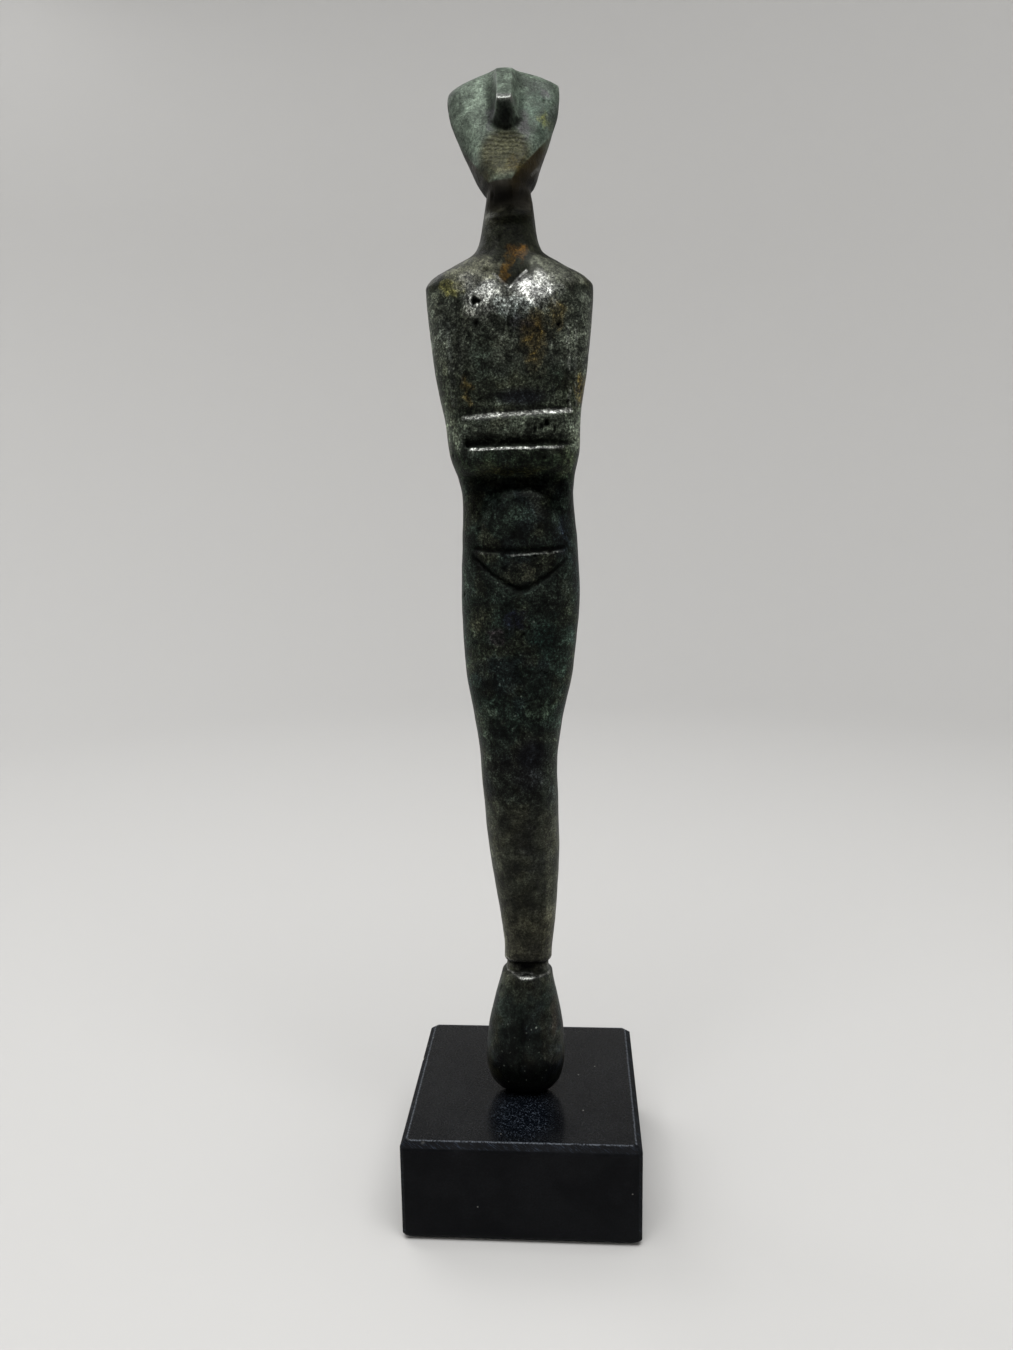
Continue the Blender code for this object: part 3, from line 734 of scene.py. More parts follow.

# Stains on the bronze, some of them partly painted light: centre and half sizes in millimetres, strength, and
# colour
STAINS = (
    ((0.6, -5.0, 180.7), (2.6, 4.0, 2.1), 0.8, (0.040, 0.019, 0.002)),
    ((-1.2, -5.0, 177.6), (1.4, 4.0, 3.6), 0.7, (0.032, 0.017, 0.002)),
    # These two light olive patches on the shoulders are partly patina and partly painted sheen where the
    # shoulders face the light above.
    ((-7.4, -4.0, 177.4), (6.4, 7.0, 3.8), 1.0, (0.062, 0.063, 0.044)),
    ((7.6, -4.0, 177.2), (6.4, 7.0, 3.8), 0.95, (0.050, 0.053, 0.040)),
    ((0.2, -8.0, 170.8), (4.6, 6.0, 2.4), 0.7, (0.048, 0.058, 0.055)),
    ((-4.0, -4.0, 184.5), (1.8, 5.0, 5.0), 0.5, (0.014, 0.0145, 0.0115)),
    ((3.6, -8.0, 164.8), (3.4, 5.0, 6.8), 0.75, (0.036, 0.026, 0.008)),
    ((7.6, -6.0, 169.5), (2.0, 5.0, 3.6), 0.55, (0.044, 0.034, 0.012)),
    ((12.0, -3.0, 156.5), (1.6, 5.0, 3.8), 0.6, (0.035, 0.026, 0.007)),
    ((5.4, 2.0, 207.0), (6.4, 9.0, 10.0), 0.75, (0.042, 0.058, 0.045)),
    ((0.4, -2.0, 195.4), (2.6, 6.0, 1.9), 0.6, (0.042, 0.033, 0.010)),
    ((-5.4, -2.0, 194.4), (2.4, 6.0, 3.0), 0.9, (0.026, 0.026, 0.016)),
    ((5.8, 1.0, 204.2), (2.4, 5.0, 2.4), 0.8, (0.090, 0.098, 0.036)),
    ((-11.4, -6.0, 174.5), (3.2, 6.0, 2.2), 0.7, (0.060, 0.058, 0.018)),
    ((-8.8, -7.0, 157.0), (1.6, 4.0, 3.0), 0.6, (0.046, 0.034, 0.010)),
    ((-6.0, -7.0, 163.0), (3.4, 6.0, 6.0), 0.4, (0.0095, 0.0150, 0.0110)),
    ((7.6, -6.0, 158.5), (2.2, 6.0, 3.4), 0.5, (0.0095, 0.0140, 0.0100)),
    # Painted light: a lighter band on the lower forearm's underside, as light reflected from below.
    ((0.0, -7.0, 142.5), (9.0, 5.0, 1.3), 0.5, (0.013, 0.012, 0.004)),
    ((0.6, -9.0, 134.5), (4.6, 5.0, 3.4), 0.6, (0.0085, 0.0135, 0.0100)),
    ((0.5, -7.0, 124.0), (5.4, 5.0, 2.9), 0.6, (0.0112, 0.0114, 0.0074)),
    ((-7.5, -6.0, 115.0), (3.4, 6.0, 5.5), 0.5, (0.0078, 0.0080, 0.0048)),
    ((5.4, -6.0, 119.0), (4.0, 6.0, 3.6), 0.5, (0.0120, 0.0150, 0.0115)),
    ((-6.0, -6.0, 95.0), (2.6, 6.0, 6.0), 0.7, (0.0100, 0.0135, 0.0098)),
    ((3.5, -6.0, 99.0), (4.0, 6.0, 3.4), 0.5, (0.0078, 0.0112, 0.0074)),
    ((0.6, -7.0, 49.0), (3.4, 5.0, 3.6), 0.6, (0.024, 0.020, 0.009)),
)

# Darker blots, one of them painted shade: centre and half sizes in millimetres, strength, and colour
BLOTS = (
    ((-2.6, -8.0, 160.0), (2.4, 6.0, 2.2), 0.6, (0.0060, 0.0075, 0.0065)),
    ((1.4, -8.0, 168.2), (2.8, 6.0, 1.8), 0.5, (0.010, 0.009, 0.013)),
    ((-5.4, -6.0, 87.5), (1.8, 6.0, 1.6), 0.8, (0.0026, 0.0026, 0.0022)),
    ((-0.6, -7.0, 115.3), (3.0, 8.0, 2.4), 0.7, (0.0036, 0.0042, 0.0080)),
    ((-2.2, -6.0, 32.0), (2.4, 6.0, 5.0), 0.7, (0.0020, 0.0028, 0.0023)),
    ((3.0, -6.0, 31.0), (2.4, 6.0, 4.6), 0.6, (0.0020, 0.0028, 0.0023)),
    # This blot is painted shade under the chin, on the top of the neck.
    ((-0.9, -4.0, 187.2), (5.0, 6.0, 2.4), 0.8, (0.0026, 0.0026, 0.0018)),
    ((-4.0, -7.0, 112.6), (2.2, 8.0, 2.6), 0.6, (0.0090, 0.0075, 0.0080)),
    ((5.0, -6.0, 111.5), (3.4, 6.0, 4.4), 0.5, (0.0020, 0.0055, 0.0045)),
    ((8.6, -6.0, 131.0), (2.4, 6.0, 7.0), 0.6, (0.0026, 0.0036, 0.0052)),
    ((6.0, 2.0, 211.0), (4.8, 6.0, 3.0), 0.85, (0.034, 0.031, 0.034)),
    ((8.0, 3.0, 205.0), (2.6, 6.0, 7.0), 0.5, (0.046, 0.048, 0.046)),
    ((-4.1, 0.0, 205.5), (1.5, 5.0, 4.4), 0.6, (0.058, 0.055, 0.062)),
    ((1.9, 0.0, 203.5), (1.6, 5.0, 4.8), 0.6, (0.060, 0.056, 0.060)),
    ((2.0, -6.0, 58.7), (1.6, 5.0, 1.8), 0.6, (0.0070, 0.0068, 0.0055)),
    ((1.0, -6.0, 73.0), (3.4, 5.0, 5.0), 0.4, (0.0085, 0.0090, 0.0085)),
)

# Small marks with firmer edges, two of them painted shade: centre and half sizes in millimetres, strength,
# and colour
DABS = (
    # Painted shade under the nose
    ((-1.3, -1.0, 203.6), (1.9, 4.0, 2.5), 0.85, (0.010, 0.011, 0.010)),
    # Painted shade in the crease where the chest sinks to the upper forearm
    ((1.2, -7.0, 155.5), (7.6, 6.0, 2.5), 0.9, (0.0022, 0.0026, 0.0038)),
    ((2.2, -7.0, 90.0), (4.2, 6.0, 4.8), 0.95, (0.0020, 0.0023, 0.0030)),
    ((-2.6, -7.0, 87.6), (4.4, 6.0, 1.6), 0.7, (0.0026, 0.0028, 0.0026)),
    ((1.8, -7.0, 85.2), (4.4, 6.0, 3.6), 0.85, (0.0030, 0.0033, 0.0037)),
    ((0.0, -8.0, 33.8), (0.6, 6.0, 3.6), 0.95, (0.0008, 0.0012, 0.0010)),
    ((4.2, -6.0, 94.6), (1.2, 6.0, 1.5), 0.9, (0.0022, 0.0030, 0.0024)),
    ((3.0, -6.0, 63.4), (0.8, 6.0, 2.7), 0.85, (0.0036, 0.0036, 0.0032)),
    ((2.6, -6.0, 75.6), (0.5, 6.0, 1.0), 0.7, (0.0036, 0.0036, 0.0032)),
    ((1.4, -6.0, 70.2), (1.3, 6.0, 0.6), 0.6, (0.0040, 0.0040, 0.0034)),
    ((0.8, -3.0, 45.3), (2.4, 6.0, 0.8), 1.0, (0.0014, 0.0015, 0.0018)),
    ((6.0, -3.0, 36.0), (1.0, 6.0, 5.0), 0.5, (0.0150, 0.0110, 0.0070)),
    ((-1.0, -8.0, 148.4), (0.5, 6.0, 0.3), 0.7, (0.004, 0.005, 0.004)),
)

# Streaks, two of them painted highlights: where each starts and ends, across and up, its half width,
# strength, and colour
STREAKS = (
    ((9.4, 169.0), (9.7, 153.6), 0.45, 0.45, (0.060, 0.064, 0.056)),
    ((10.9, 168.0), (10.8, 154.0), 0.35, 0.35, (0.060, 0.064, 0.056)),
    ((-11.9, 168.0), (-11.0, 154.5), 0.8, 0.4, (0.050, 0.056, 0.050)),
    ((-9.9, 166.0), (-9.5, 158.0), 0.35, 0.3, (0.050, 0.056, 0.050)),
    ((6.4, 166.0), (6.9, 155.0), 0.4, 0.25, (0.040, 0.045, 0.040)),
    ((0.1, 36.5), (0.0, 28.0), 0.5, 0.8, (0.0014, 0.0020, 0.0018)),
    ((-2.4, 39.0), (-3.2, 30.0), 0.4, 0.4, (0.0150, 0.0185, 0.0160)),
    ((3.6, 38.0), (4.4, 29.0), 0.4, 0.4, (0.0180, 0.0185, 0.0140)),
    ((5.0, 78.0), (5.2, 50.0), 0.9, 0.35, (0.0300, 0.0300, 0.0210)),
    ((-5.0, 76.0), (-3.8, 50.0), 0.9, 0.3, (0.0270, 0.0280, 0.0200)),
    # These two lines are painted highlights along the ankle's edge.
    ((-3.6, 45.4), (-2.3, 45.4), 0.4, 0.6, (0.0300, 0.0310, 0.0280)),
    ((3.3, 45.2), (4.2, 45.2), 0.4, 0.6, (0.0260, 0.0260, 0.0220)),
)

# Places that hands have burnished: centre and half sizes in millimetres, and strength
BURNISHED = (
    ((-6.0, -8.0, 172.6), (5.4, 5.0, 5.0), 0.6), ((4.2, -8.0, 174.4), (6.2, 5.0, 5.0), 0.95),
    ((-8.6, -6.0, 175.6), (3.4, 5.0, 3.0), 0.35), ((0.0, -8.0, 171.6), (4.6, 5.0, 2.6), 0.4),
    ((3.4, 0.0, 202.5), (1.3, 5.0, 4.6), 0.5), ((-6.2, 0.0, 205.0), (1.0, 5.0, 2.6), 0.3),
)

# Edges that gleam: where each starts and ends, across and up, its half width, and strength
GLEAMS = (
    ((-9.3, 152.0), (9.8, 153.1), 0.6, 0.66), ((-8.2, 146.4), (8.4, 146.6), 0.36, 0.7),
    ((-1.0, 127.4), (7.4, 127.9), 0.3, 0.2), ((-2.6, 206.8), (-0.4, 206.5), 1.15, 1.0),
    ((-0.6, 174.2), (2.2, 177.0), 0.4, 0.8), ((-0.9, 174.2), (-3.6, 176.6), 0.4, 0.35),
    ((-0.3, 44.0), (1.6, 44.0), 0.5, 1.0), ((-4.4, 44.3), (5.4, 43.8), 0.22, 0.5),
    ((3.2, 193.9), (6.2, 198.0), 0.3, 0.4), ((-4.0, 46.9), (5.2, 46.6), 0.22, 0.35),
)


# Fades in the bronze's finish, in millimetres: where each is still 0, and where it is 1
FACE_RISE = (190.0, 192.0)
FACET_RISE = (187.0, 189.5)
FACET_EDGE = (0.3, -0.4)
FACET_DEPTH = (6.0, 3.0)
BROWN_SIDE = (-0.4, 1.8)
BROWN_DROP = (-4.6, -1.2)
# Where the painted shade under the chin lies
COLLAR_RISE = (184.8, 186.0)
COLLAR_FALL = (189.5, 188.5)
VEE_EDGE = (-0.1, 0.5)
VEE_REACH = (7.5, 5.0)
NECK_QUIET = (172.0, 178.0)
LEG_QUIET = (84.0, 76.0)
# Where the painted shade is eased on the lower forearm's underside
LIP_RISE = (140.9, 141.5)
LIP_FALL = (145.0, 143.6)
# The painted shadow in the recess under the forearms
RECESS_RISE = (137.0, 140.0)
RECESS_TOP = (141.9, 140.9)
RECESS_REACH = (10.2, 8.8)
# The painted shadow on the top of the belly's dome
DOME_RISE = (132.5, 137.0)
# Where the painted shade is eased over the hips
HIP_RISE = (126.0, 130.0)
HIP_FALL = (141.5, 138.5)
BELLY_FACING = (0.0, -3.0)
CRUST_FEET = (38.0, 34.0)
CRUST_RISE = (84.0, 92.0)
CRUST_FALL = (128.0, 118.0)
CRUST_REACH = (6.0, 3.5)
FILED_RISE = (191.5, 196.5)
FILED_TURN = (-5.0, -1.5)
FRONT_DEPTH = (3.0, 0.0)

# The painted shadow in the recess over the belly and on the dome's top, as shares of the way out to the
# belly's edge. The recess is bowed about its middle.
RECESS_OVAL = (0.86, 1.04)
DOME_OVAL = (0.45, 0.75)
RECESS_MIDDLE = 0.2
RECESS_BOW = 0.018

# Areas of another tint: its setting, their size and the pattern's shift in millimetres, the noise at
# which they start and are full, and strength
TINTED = (
    ("olive", 6.0, (40.0, 0.0, 7.0), (0.5, 0.62), 0.25),
    ("blue", 7.0, (0.0, 30.0, 90.0), (0.54, 0.66), 0.2),
)

# Stops of brightness that each trait of the surface adds where it is full
CLOUD_STOPS = 5.0
FINE_STOPS = 5.0
CAVITY_STOPS = -2.2
RUB_STOPS = 0.6
# Painted side light: surfaces that face sideways are lightened by these stops.
PAINTED_SIDE_LIGHT_STOPS = 1.3
DOME_SHADOW_STOPS = -0.3
FAULT_STOPS = -6.0
PORE_STOPS = -1.6


class PatinaAndPaintedLight:
    """The bronze's finish with its painted shade and light, built up on one node graph. Places and sizes are
    in millimetres.
    """

    def __init__(self, graph, here, settings):
        self.graph = graph
        self.here = here
        self.settings = settings
        self.x, self.y, self.z = graph.parts(here)
        drift = graph.node("ShaderNodeTexNoise", None, {"Vector": here, "Scale": 0.5, "Detail": 4.0})
        self.drift = graph.vector("SUBTRACT", drift.outputs["Color"], (0.5, 0.5, 0.5))
        self.torn = graph.vector("ADD", here, graph.scaled(self.drift, settings.tearing))
        self.clouds = graph.noise(here, 4.5, 4.0, 0.6)
        self.mottle = graph.noise(self.torn, 1.8, 4.0, 0.65)
        self.grain = graph.noise(here, 0.42, 3.0, 0.7)
        self.fine = graph.noise(here, 0.2, 2.0, 0.6)
        self.slow = 0.9 * (graph.noise(here, 2.4, 2.0) - 0.5)
        along = graph.join(self.x + self.z * 0.35, self.y, self.z * 0.16)
        self.brushed = graph.noise(along, 0.42, 3.0, 0.6)
        self.front = graph.soft(self.y, *FRONT_DEPTH)
        self.cavity = attribute(graph, "cavity")
        self.rub = attribute(graph, "rub")
        self.fault = attribute(graph, "fault")
        self.find_head()
        self.find_belly()
        self.quiet = 1.0 - 0.6 * self.face - 0.35 * self.facet - 0.4 * graph.soft(self.z, *LEG_QUIET)
        self.quiet = self.quiet - 0.55 * graph.soft(self.z, *NECK_QUIET) * (1.0 - self.face)
        self.pores = graph.soft(self.grain, 0.41, 0.34) * self.quiet

    def find_head(self):
        """Where the face, the cut under the jaw, the filed chin, the painted shade under the chin and the
        neck's V lie.
        """
        graph, x, z = self.graph, self.x, self.z
        out = x - CHIN_PLACE[0]
        left = out * -JAW_LEFT[1] + JAW_LEFT[0] * JAW_LEFT[1]
        right = out * JAW_RIGHT[1] - JAW_RIGHT[0] * JAW_RIGHT[1]
        self.over_jaw = z - graph.largest(left, 0.0, right) - CHIN_PLACE[1]
        facet = graph.soft(self.over_jaw, *FACET_EDGE) * graph.soft(z, *FACET_RISE)
        self.facet = facet * graph.soft(self.y, *FACET_DEPTH)
        self.face = graph.soft(z, *FACE_RISE) * (1.0 - self.facet)
        away = graph.vector("SUBTRACT", self.here, CHIN_STROKES[0])
        self.chin = graph.soft(graph.length(graph.vector("DIVIDE", away, CHIN_STROKES[1])), 1.15, 0.7)
        self.under_chin_shade = graph.band(z, COLLAR_RISE, COLLAR_FALL)
        vee = abs(x - VEE_PLACE[0]) * NECK_SLOPE
        self.above_vee = graph.soft(z - vee - VEE_PLACE[1], *VEE_EDGE) * graph.soft(vee, *VEE_REACH)

    def find_belly(self):
        """Where the top of the belly's dome lies, and the painted shade: how far each place is kept from the
        light above, with a painted shadow in the recess under the forearms.
        """
        graph, x, z = self.graph, self.x, self.z
        out = abs((x - BELLY_PLACE[0]) / BELLY_HALF[0]) ** BELLY_POWER
        up = abs((z - BELLY_PLACE[1]) / BELLY_HALF[1]) ** BELLY_POWER
        facing = graph.soft(self.y, *BELLY_FACING)
        aside = x - RECESS_MIDDLE
        bowed = z + RECESS_BOW * aside * aside
        # A painted shadow in the recess under the forearms, over the belly's dome
        recess_shadow = graph.soft(out + up, *RECESS_OVAL) * graph.soft(z, *RECESS_RISE)
        recess_shadow = recess_shadow * graph.soft(bowed, *RECESS_TOP) * facing * graph.soft(abs(aside), *RECESS_REACH)
        # The painted shade is eased on the lower forearm's underside, where light from below shows, and over
        # the hips.
        lip = graph.band(z, LIP_RISE, LIP_FALL) * facing
        hips = graph.band(z, HIP_RISE, HIP_FALL)
        # The dome's top edge is painted darker and duller, as the forearms' shadow.
        self.dome_top_shadow = graph.soft(out + up, *DOME_OVAL) * graph.band(z, DOME_RISE, RECESS_TOP)
        painted_shade = attribute(graph, "painted_shade") * (1.0 - 0.75 * lip) * (1.0 - 0.6 * recess_shadow) * (1.0 - 0.6 * hips)
        self.painted_shade = graph.largest(painted_shade, recess_shadow * 0.42)

    def ground_colour(self):
        """The zones up the figure, the olive and blue areas, the filed chin and the cut under the jaw."""
        graph, settings = self.graph, self.settings
        height = graph.parts(self.torn)[2]
        colour = settings.ground
        for low, high, fade, tint in ZONES:
            share = graph.band(height, (low - fade, low + fade), (high + fade, high - fade))
            colour = graph.mix(share, colour, (*tint, 1.0))
        for name, size, shift, edges, strength in TINTED:
            area = graph.soft(graph.noise(graph.vector("ADD", self.here, shift), size, 3.0), *edges)
            colour = graph.mix(area * (1.0 - self.face) * strength, colour, getattr(settings, name))
        colour = graph.mix(self.chin * 0.9, colour, settings.chin)
        brown = graph.soft(self.x - CHIN_PLACE[0] + 0.9 * (self.mottle - 0.5), *BROWN_SIDE)
        brown = brown * graph.soft(self.over_jaw + 3.0 * (self.mottle - 0.5), *BROWN_DROP)
        return graph.mix(self.facet, colour, graph.mix(brown, settings.jaw, settings.brown))

    def stained(self, colour):
        """The stains and blots with torn edges, the crust, and the firmer dabs and streaks."""
        graph, x, z = self.graph, self.x, self.z
        broken = 0.5 + graph.soft(self.mottle, 0.35, 0.65)
        for centre, half_sizes, strength, tint in STAINS + BLOTS:
            share = patch(graph, self.torn, centre, half_sizes) * broken * strength
            colour = graph.mix(graph.maths("MINIMUM", share, 1.0), colour, (*tint, 1.0))
        crust = graph.soft(graph.cells(self.here, 0.8), 0.21, 0.09) * graph.soft(self.mottle, 0.42, 0.56)
        crust = crust * (graph.soft(z, *CRUST_FEET) + 0.35 * graph.band(z, CRUST_RISE, CRUST_FALL))
        crust = crust * graph.soft(abs(x), *CRUST_REACH)
        colour = graph.mix(graph.maths("MINIMUM", crust, 1.0) * 0.6, colour, self.settings.crust)
        frayed = graph.vector("ADD", self.here, graph.scaled(self.drift, 0.25 * self.settings.tearing))
        for centre, half_sizes, strength, tint in DABS:
            colour = graph.mix(patch(graph, frayed, centre, half_sizes) * strength, colour, (*tint, 1.0))
        for start, end, half, strength, tint in STREAKS:
            share = line(graph, x + self.slow, z, start, end, half) * graph.soft(self.brushed, 0.38, 0.58)
            colour = graph.mix(share * strength * self.front, colour, (*tint, 1.0))
        return colour

    def burnish(self):
        """How bright hands have rubbed the bronze, 0 to 1."""
        graph = self.graph
        worn = 0.55 + 0.25 * graph.soft(self.mottle, 0.4, 0.6) + 0.35 * graph.soft(self.grain, 0.4, 0.6)
        bright = 0.0
        for centre, half_sizes, strength in BURNISHED:
            bright = graph.largest(bright, patch(graph, self.torn, centre, half_sizes) * strength)
        bright = (bright + self.rub * 0.35) * (1.0 - self.above_vee)
        for start, end, half, strength in GLEAMS:
            gleam = line(graph, self.x, self.z + 0.6 * self.slow, start, end, half) * strength
            bright = graph.largest(bright, gleam * self.front)
        return graph.clamped(bright * worn) * (1.0 - self.painted_shade) * (1.0 - self.fault)

    def shading(self):
        """How many stops lighter or darker than its colour each place is, with the painted shade and the
        painted side light among them.
        """
        settings, quiet = self.settings, self.quiet
        uneven = settings.mottling * (self.mottle - 0.5) + settings.graining * (self.grain - 0.5)
        stops = CLOUD_STOPS * (self.clouds - 0.5) + uneven * quiet + FINE_STOPS * (self.fine - 0.5) * quiet
        stops = stops + CAVITY_STOPS * self.cavity * quiet + RUB_STOPS * self.rub
        # Painted shade: places kept from the light above are darkened by the shade setting's stops.
        stops = stops - settings.shade * self.painted_shade
        # Surfaces that face sideways are painted lighter, as if lit from the sides.
        sides = self.graph.soft(attribute(self.graph, "side"), 0.3, 0.8)
        stops = stops + PAINTED_SIDE_LIGHT_STOPS * sides * (1.0 - self.face) * (1.0 - self.facet)
        return stops + DOME_SHADOW_STOPS * self.dome_top_shadow + FAULT_STOPS * self.fault + PORE_STOPS * self.pores

    def bumps(self):
        """The height of the casting's grain, and of the file strokes on the chin."""
        graph, x, z = self.graph, self.x, self.z
        wavy = z + x * 0.22 - 0.9 * graph.soft(x, *FILED_TURN) + 2.8 * (self.clouds - 0.5) + 1.8 * self.slow
        strokes = graph.noise(graph.join(x * 0.3, 0.0, wavy), 0.42, 3.0, 0.6) * graph.soft(z, *FILED_RISE)
        grained = self.grain * 0.7 + self.mottle * 0.8 + self.fine * 0.25 + self.brushed * 0.5
        grained = grained - self.pores * 0.25
        return grained * (1.0 - 0.45 * self.face) + self.chin * strokes * 3.2


def bronze_material(settings):
    """Cast bronze under a dark patina: mottled, stained, burnished in places, and painted near-black as shade
    where the light above is kept off.
    """
    material, graph, here = new_material("patinated_bronze")
    patina = PatinaAndPaintedLight(graph, here, settings)
    burnish = patina.burnish()
    colour = graph.mix(burnish * 0.85, patina.stained(patina.ground_colour()), settings.bare)
    colour = graph.brighter(colour, 2.0 ** patina.shading())
    roughness = settings.roughness + 0.35 * (patina.mottle - 0.5) + 0.2 * patina.cavity - 0.16 * burnish
    roughness = roughness + 0.12 * patina.face * (1.0 - burnish) + 0.3 * patina.painted_shade
    # The sheen is taken away in the painted shade, the dome's painted shadow, the painted shade under the
    # chin, and the casting faults.
    dull = graph.largest(patina.painted_shade, patina.fault, 0.7 * patina.dome_top_shadow, patina.under_chin_shade)
    metallic = settings.metal * (1.0 - 0.7 * patina.face) + 1.2 * (0.5 - patina.mottle) * patina.quiet
    metallic = metallic + burnish + 0.9 * dull
    coat = (settings.wax + 0.35 * burnish - 0.4 * patina.cavity) * (1.0 - dull)
    finish_material(graph, patina.bumps(), settings.bump_depth, {
        "Base Color": colour, "Roughness": roughness, "Metallic": graph.clamped(metallic),
        "Specular IOR Level": 0.05, "Coat Weight": graph.clamped(coat), "Coat Roughness": 0.22,
    })
    return material


def stone_material(settings):
    """Dense dark stone: honed sides, a polished top with the foot's reflection painted on it, rough bevels
    with slanting marks, pale specks, and a painted highlight line along the top's edge.
    """
    material, graph, here = new_material("dark_stone")
    bevel = attribute(graph, "bevel")
    polish = attribute(graph, "polish")
    nick = attribute(graph, "nick")
    edge_highlight = attribute(graph, "edge_highlight")
    x, y, z = graph.parts(here)
    clouds = graph.noise(here, 9.0, 4.0, 0.6)
    fine = graph.noise(here, 0.35, 3.0, 0.7)
    slanted = graph.join(x + y + z * MARK_SLANT, x * 0.15, 0.0)
    marks = graph.soft(graph.noise(slanted, 0.32, 3.0, 0.7), 0.53, 0.68)
    crystals = graph.soft(graph.noise(here, 0.32, 2.0, 0.8), 0.56, 0.68)
    # The foot's reflection is painted on the polished top: a darker blue-black ground, and the bright
    # crystals shown mostly there.
    foot_reflection = patch(graph, here, *FOOT_REFLECTION)
    crystals = crystals * (0.08 + 0.92 * foot_reflection)
    specks = graph.soft(graph.cells(here, 0.21), 0.042, 0.02)
    colour = graph.mix(graph.soft(clouds, 0.38, 0.62), settings.dark, settings.light)
    colour = graph.mix(foot_reflection * polish * 0.8, colour, settings.reflection_ground)
    colour = graph.mix(crystals * polish * 0.7, colour, settings.crystal)
    colour = graph.mix(bevel * marks, colour, settings.mark)
    # A painted highlight line along the top's edge
    colour = graph.mix(edge_highlight * graph.soft(fine, 0.4, 0.55), colour, settings.rim)
    colour = graph.mix(graph.largest(specks, nick * 0.6), colour, settings.speck)
    colour = graph.brighter(colour, 2.0 ** (3.0 * (fine - 0.5)))
    roughness = settings.roughness - 0.16 * polish + 0.25 * (fine - 0.5) + 0.2 * nick + 0.2 * bevel
    bumps = fine * 0.5 + bevel * marks * 1.2
    finish_material(graph, bumps, settings.bump_depth, {
        "Base Color": colour, "Roughness": roughness, "Specular IOR Level": 0.05,
        "Coat Weight": graph.clamped(polish * (0.3 + 0.6 * (fine - 0.5))), "Coat Roughness": 0.16,
    })
    return material


def floor_material(settings):
    """A plain pale matt surface."""
    material, graph, _ = new_material("pale_floor")
    inputs = {"Base Color": settings.floor_colour, "Roughness": 0.8}
    shader = graph.node("ShaderNodeBsdfPrincipled", None, inputs)
    graph.node("ShaderNodeOutputMaterial", None, {"Surface": shader.outputs["BSDF"]})
    return material


def add_inputs(tree, inputs):
    """Gives a geometry node tree its named inputs, and returns its group input node."""
    tree.interface.new_socket("Geometry", in_out="INPUT", socket_type="NodeSocketGeometry")
    for name, kind in inputs:
        tree.interface.new_socket(name, in_out="INPUT", socket_type=kind)
    tree.interface.new_socket("Geometry", in_out="OUTPUT", socket_type="NodeSocketGeometry")
    return tree.nodes.new("NodeGroupInput")


def nearest_point(graph, points):
    """For each place on the surface, how far the nearest of some points is, and its number."""
    here = graph.node("GeometryNodeInputPosition").outputs[0]
    index = graph.node("GeometryNodeSampleNearest", {"domain": "POINT"}, {"Geometry": points}).outputs[0]
    there = graph.node(
        "GeometryNodeSampleIndex", {"data_type": "FLOAT_VECTOR", "domain": "POINT"},
        {"Geometry": points, "Value": here, "Index": index},
    ).outputs["Value"]
    return graph.length(graph.vector("SUBTRACT", here, there)), index


def hollows(graph, points, radius, seed):
    """Round hollows at some points, each of its own size: 1 at a hollow's middle and 0 outside it."""
    far, index = nearest_point(graph, points)
    size = graph.node(
        "FunctionNodeRandomValue", {"data_type": "FLOAT"}, {2: 0.35, 3: 1.0, "ID": index, "Seed": seed}
    ).outputs[1]
    reach = graph.maths("MULTIPLY", radius, size)
    return graph.soft(far / reach, 1.0, 0.15) * graph.maths("MULTIPLY", size, size)


def scattered(graph, surface, spacing, seed, selection=None):
    """Points scattered over a surface, about one in each square of the spacing."""
    density = graph.maths("DIVIDE", 1.0, graph.maths("MULTIPLY", spacing, spacing))
    inputs = {"Mesh": surface, "Density": density, "Seed": seed}
    if selection is not None:
        inputs["Selection"] = selection
    made = graph.node("GeometryNodeDistributePointsOnFaces", {"distribute_method": "RANDOM"}, inputs)
    return made.outputs["Points"]


def stored(graph, name):
    """A number that is kept on the points of the mesh that a geometry tree is given."""
    made = graph.node("GeometryNodeInputNamedAttribute", {"data_type": "FLOAT"}, {"Name": name})
    return Num(graph, made.outputs[0])


def pushed(graph, geometry, direction, distance):
    """A surface whose points are moved along a direction."""
    inputs = {"Geometry": geometry, "Offset": graph.scaled(direction, distance)}
    return graph.node("GeometryNodeSetPosition", None, inputs).outputs[0]


def marked(graph, geometry, name, value):
    """A surface that keeps a number on each of its points, for its material to read."""
    inputs = {"Geometry": geometry, "Name": name, "Value": value}
    settings = {"data_type": "FLOAT", "domain": "POINT"}
    return graph.node("GeometryNodeStoreNamedAttribute", settings, inputs).outputs[0]


def end_tree(graph, geometry, group_in):
    """Ends a tree: instances made real, and the material set."""
    real = graph.node("GeometryNodeRealizeInstances", None, {"Geometry": geometry}).outputs[0]
    dressed = graph.node(
        "GeometryNodeSetMaterial", None, {"Geometry": real, "Material": group_in.outputs["Material"]}
    ).outputs[0]
    graph.node("NodeGroupOutput", None, {0: dressed})


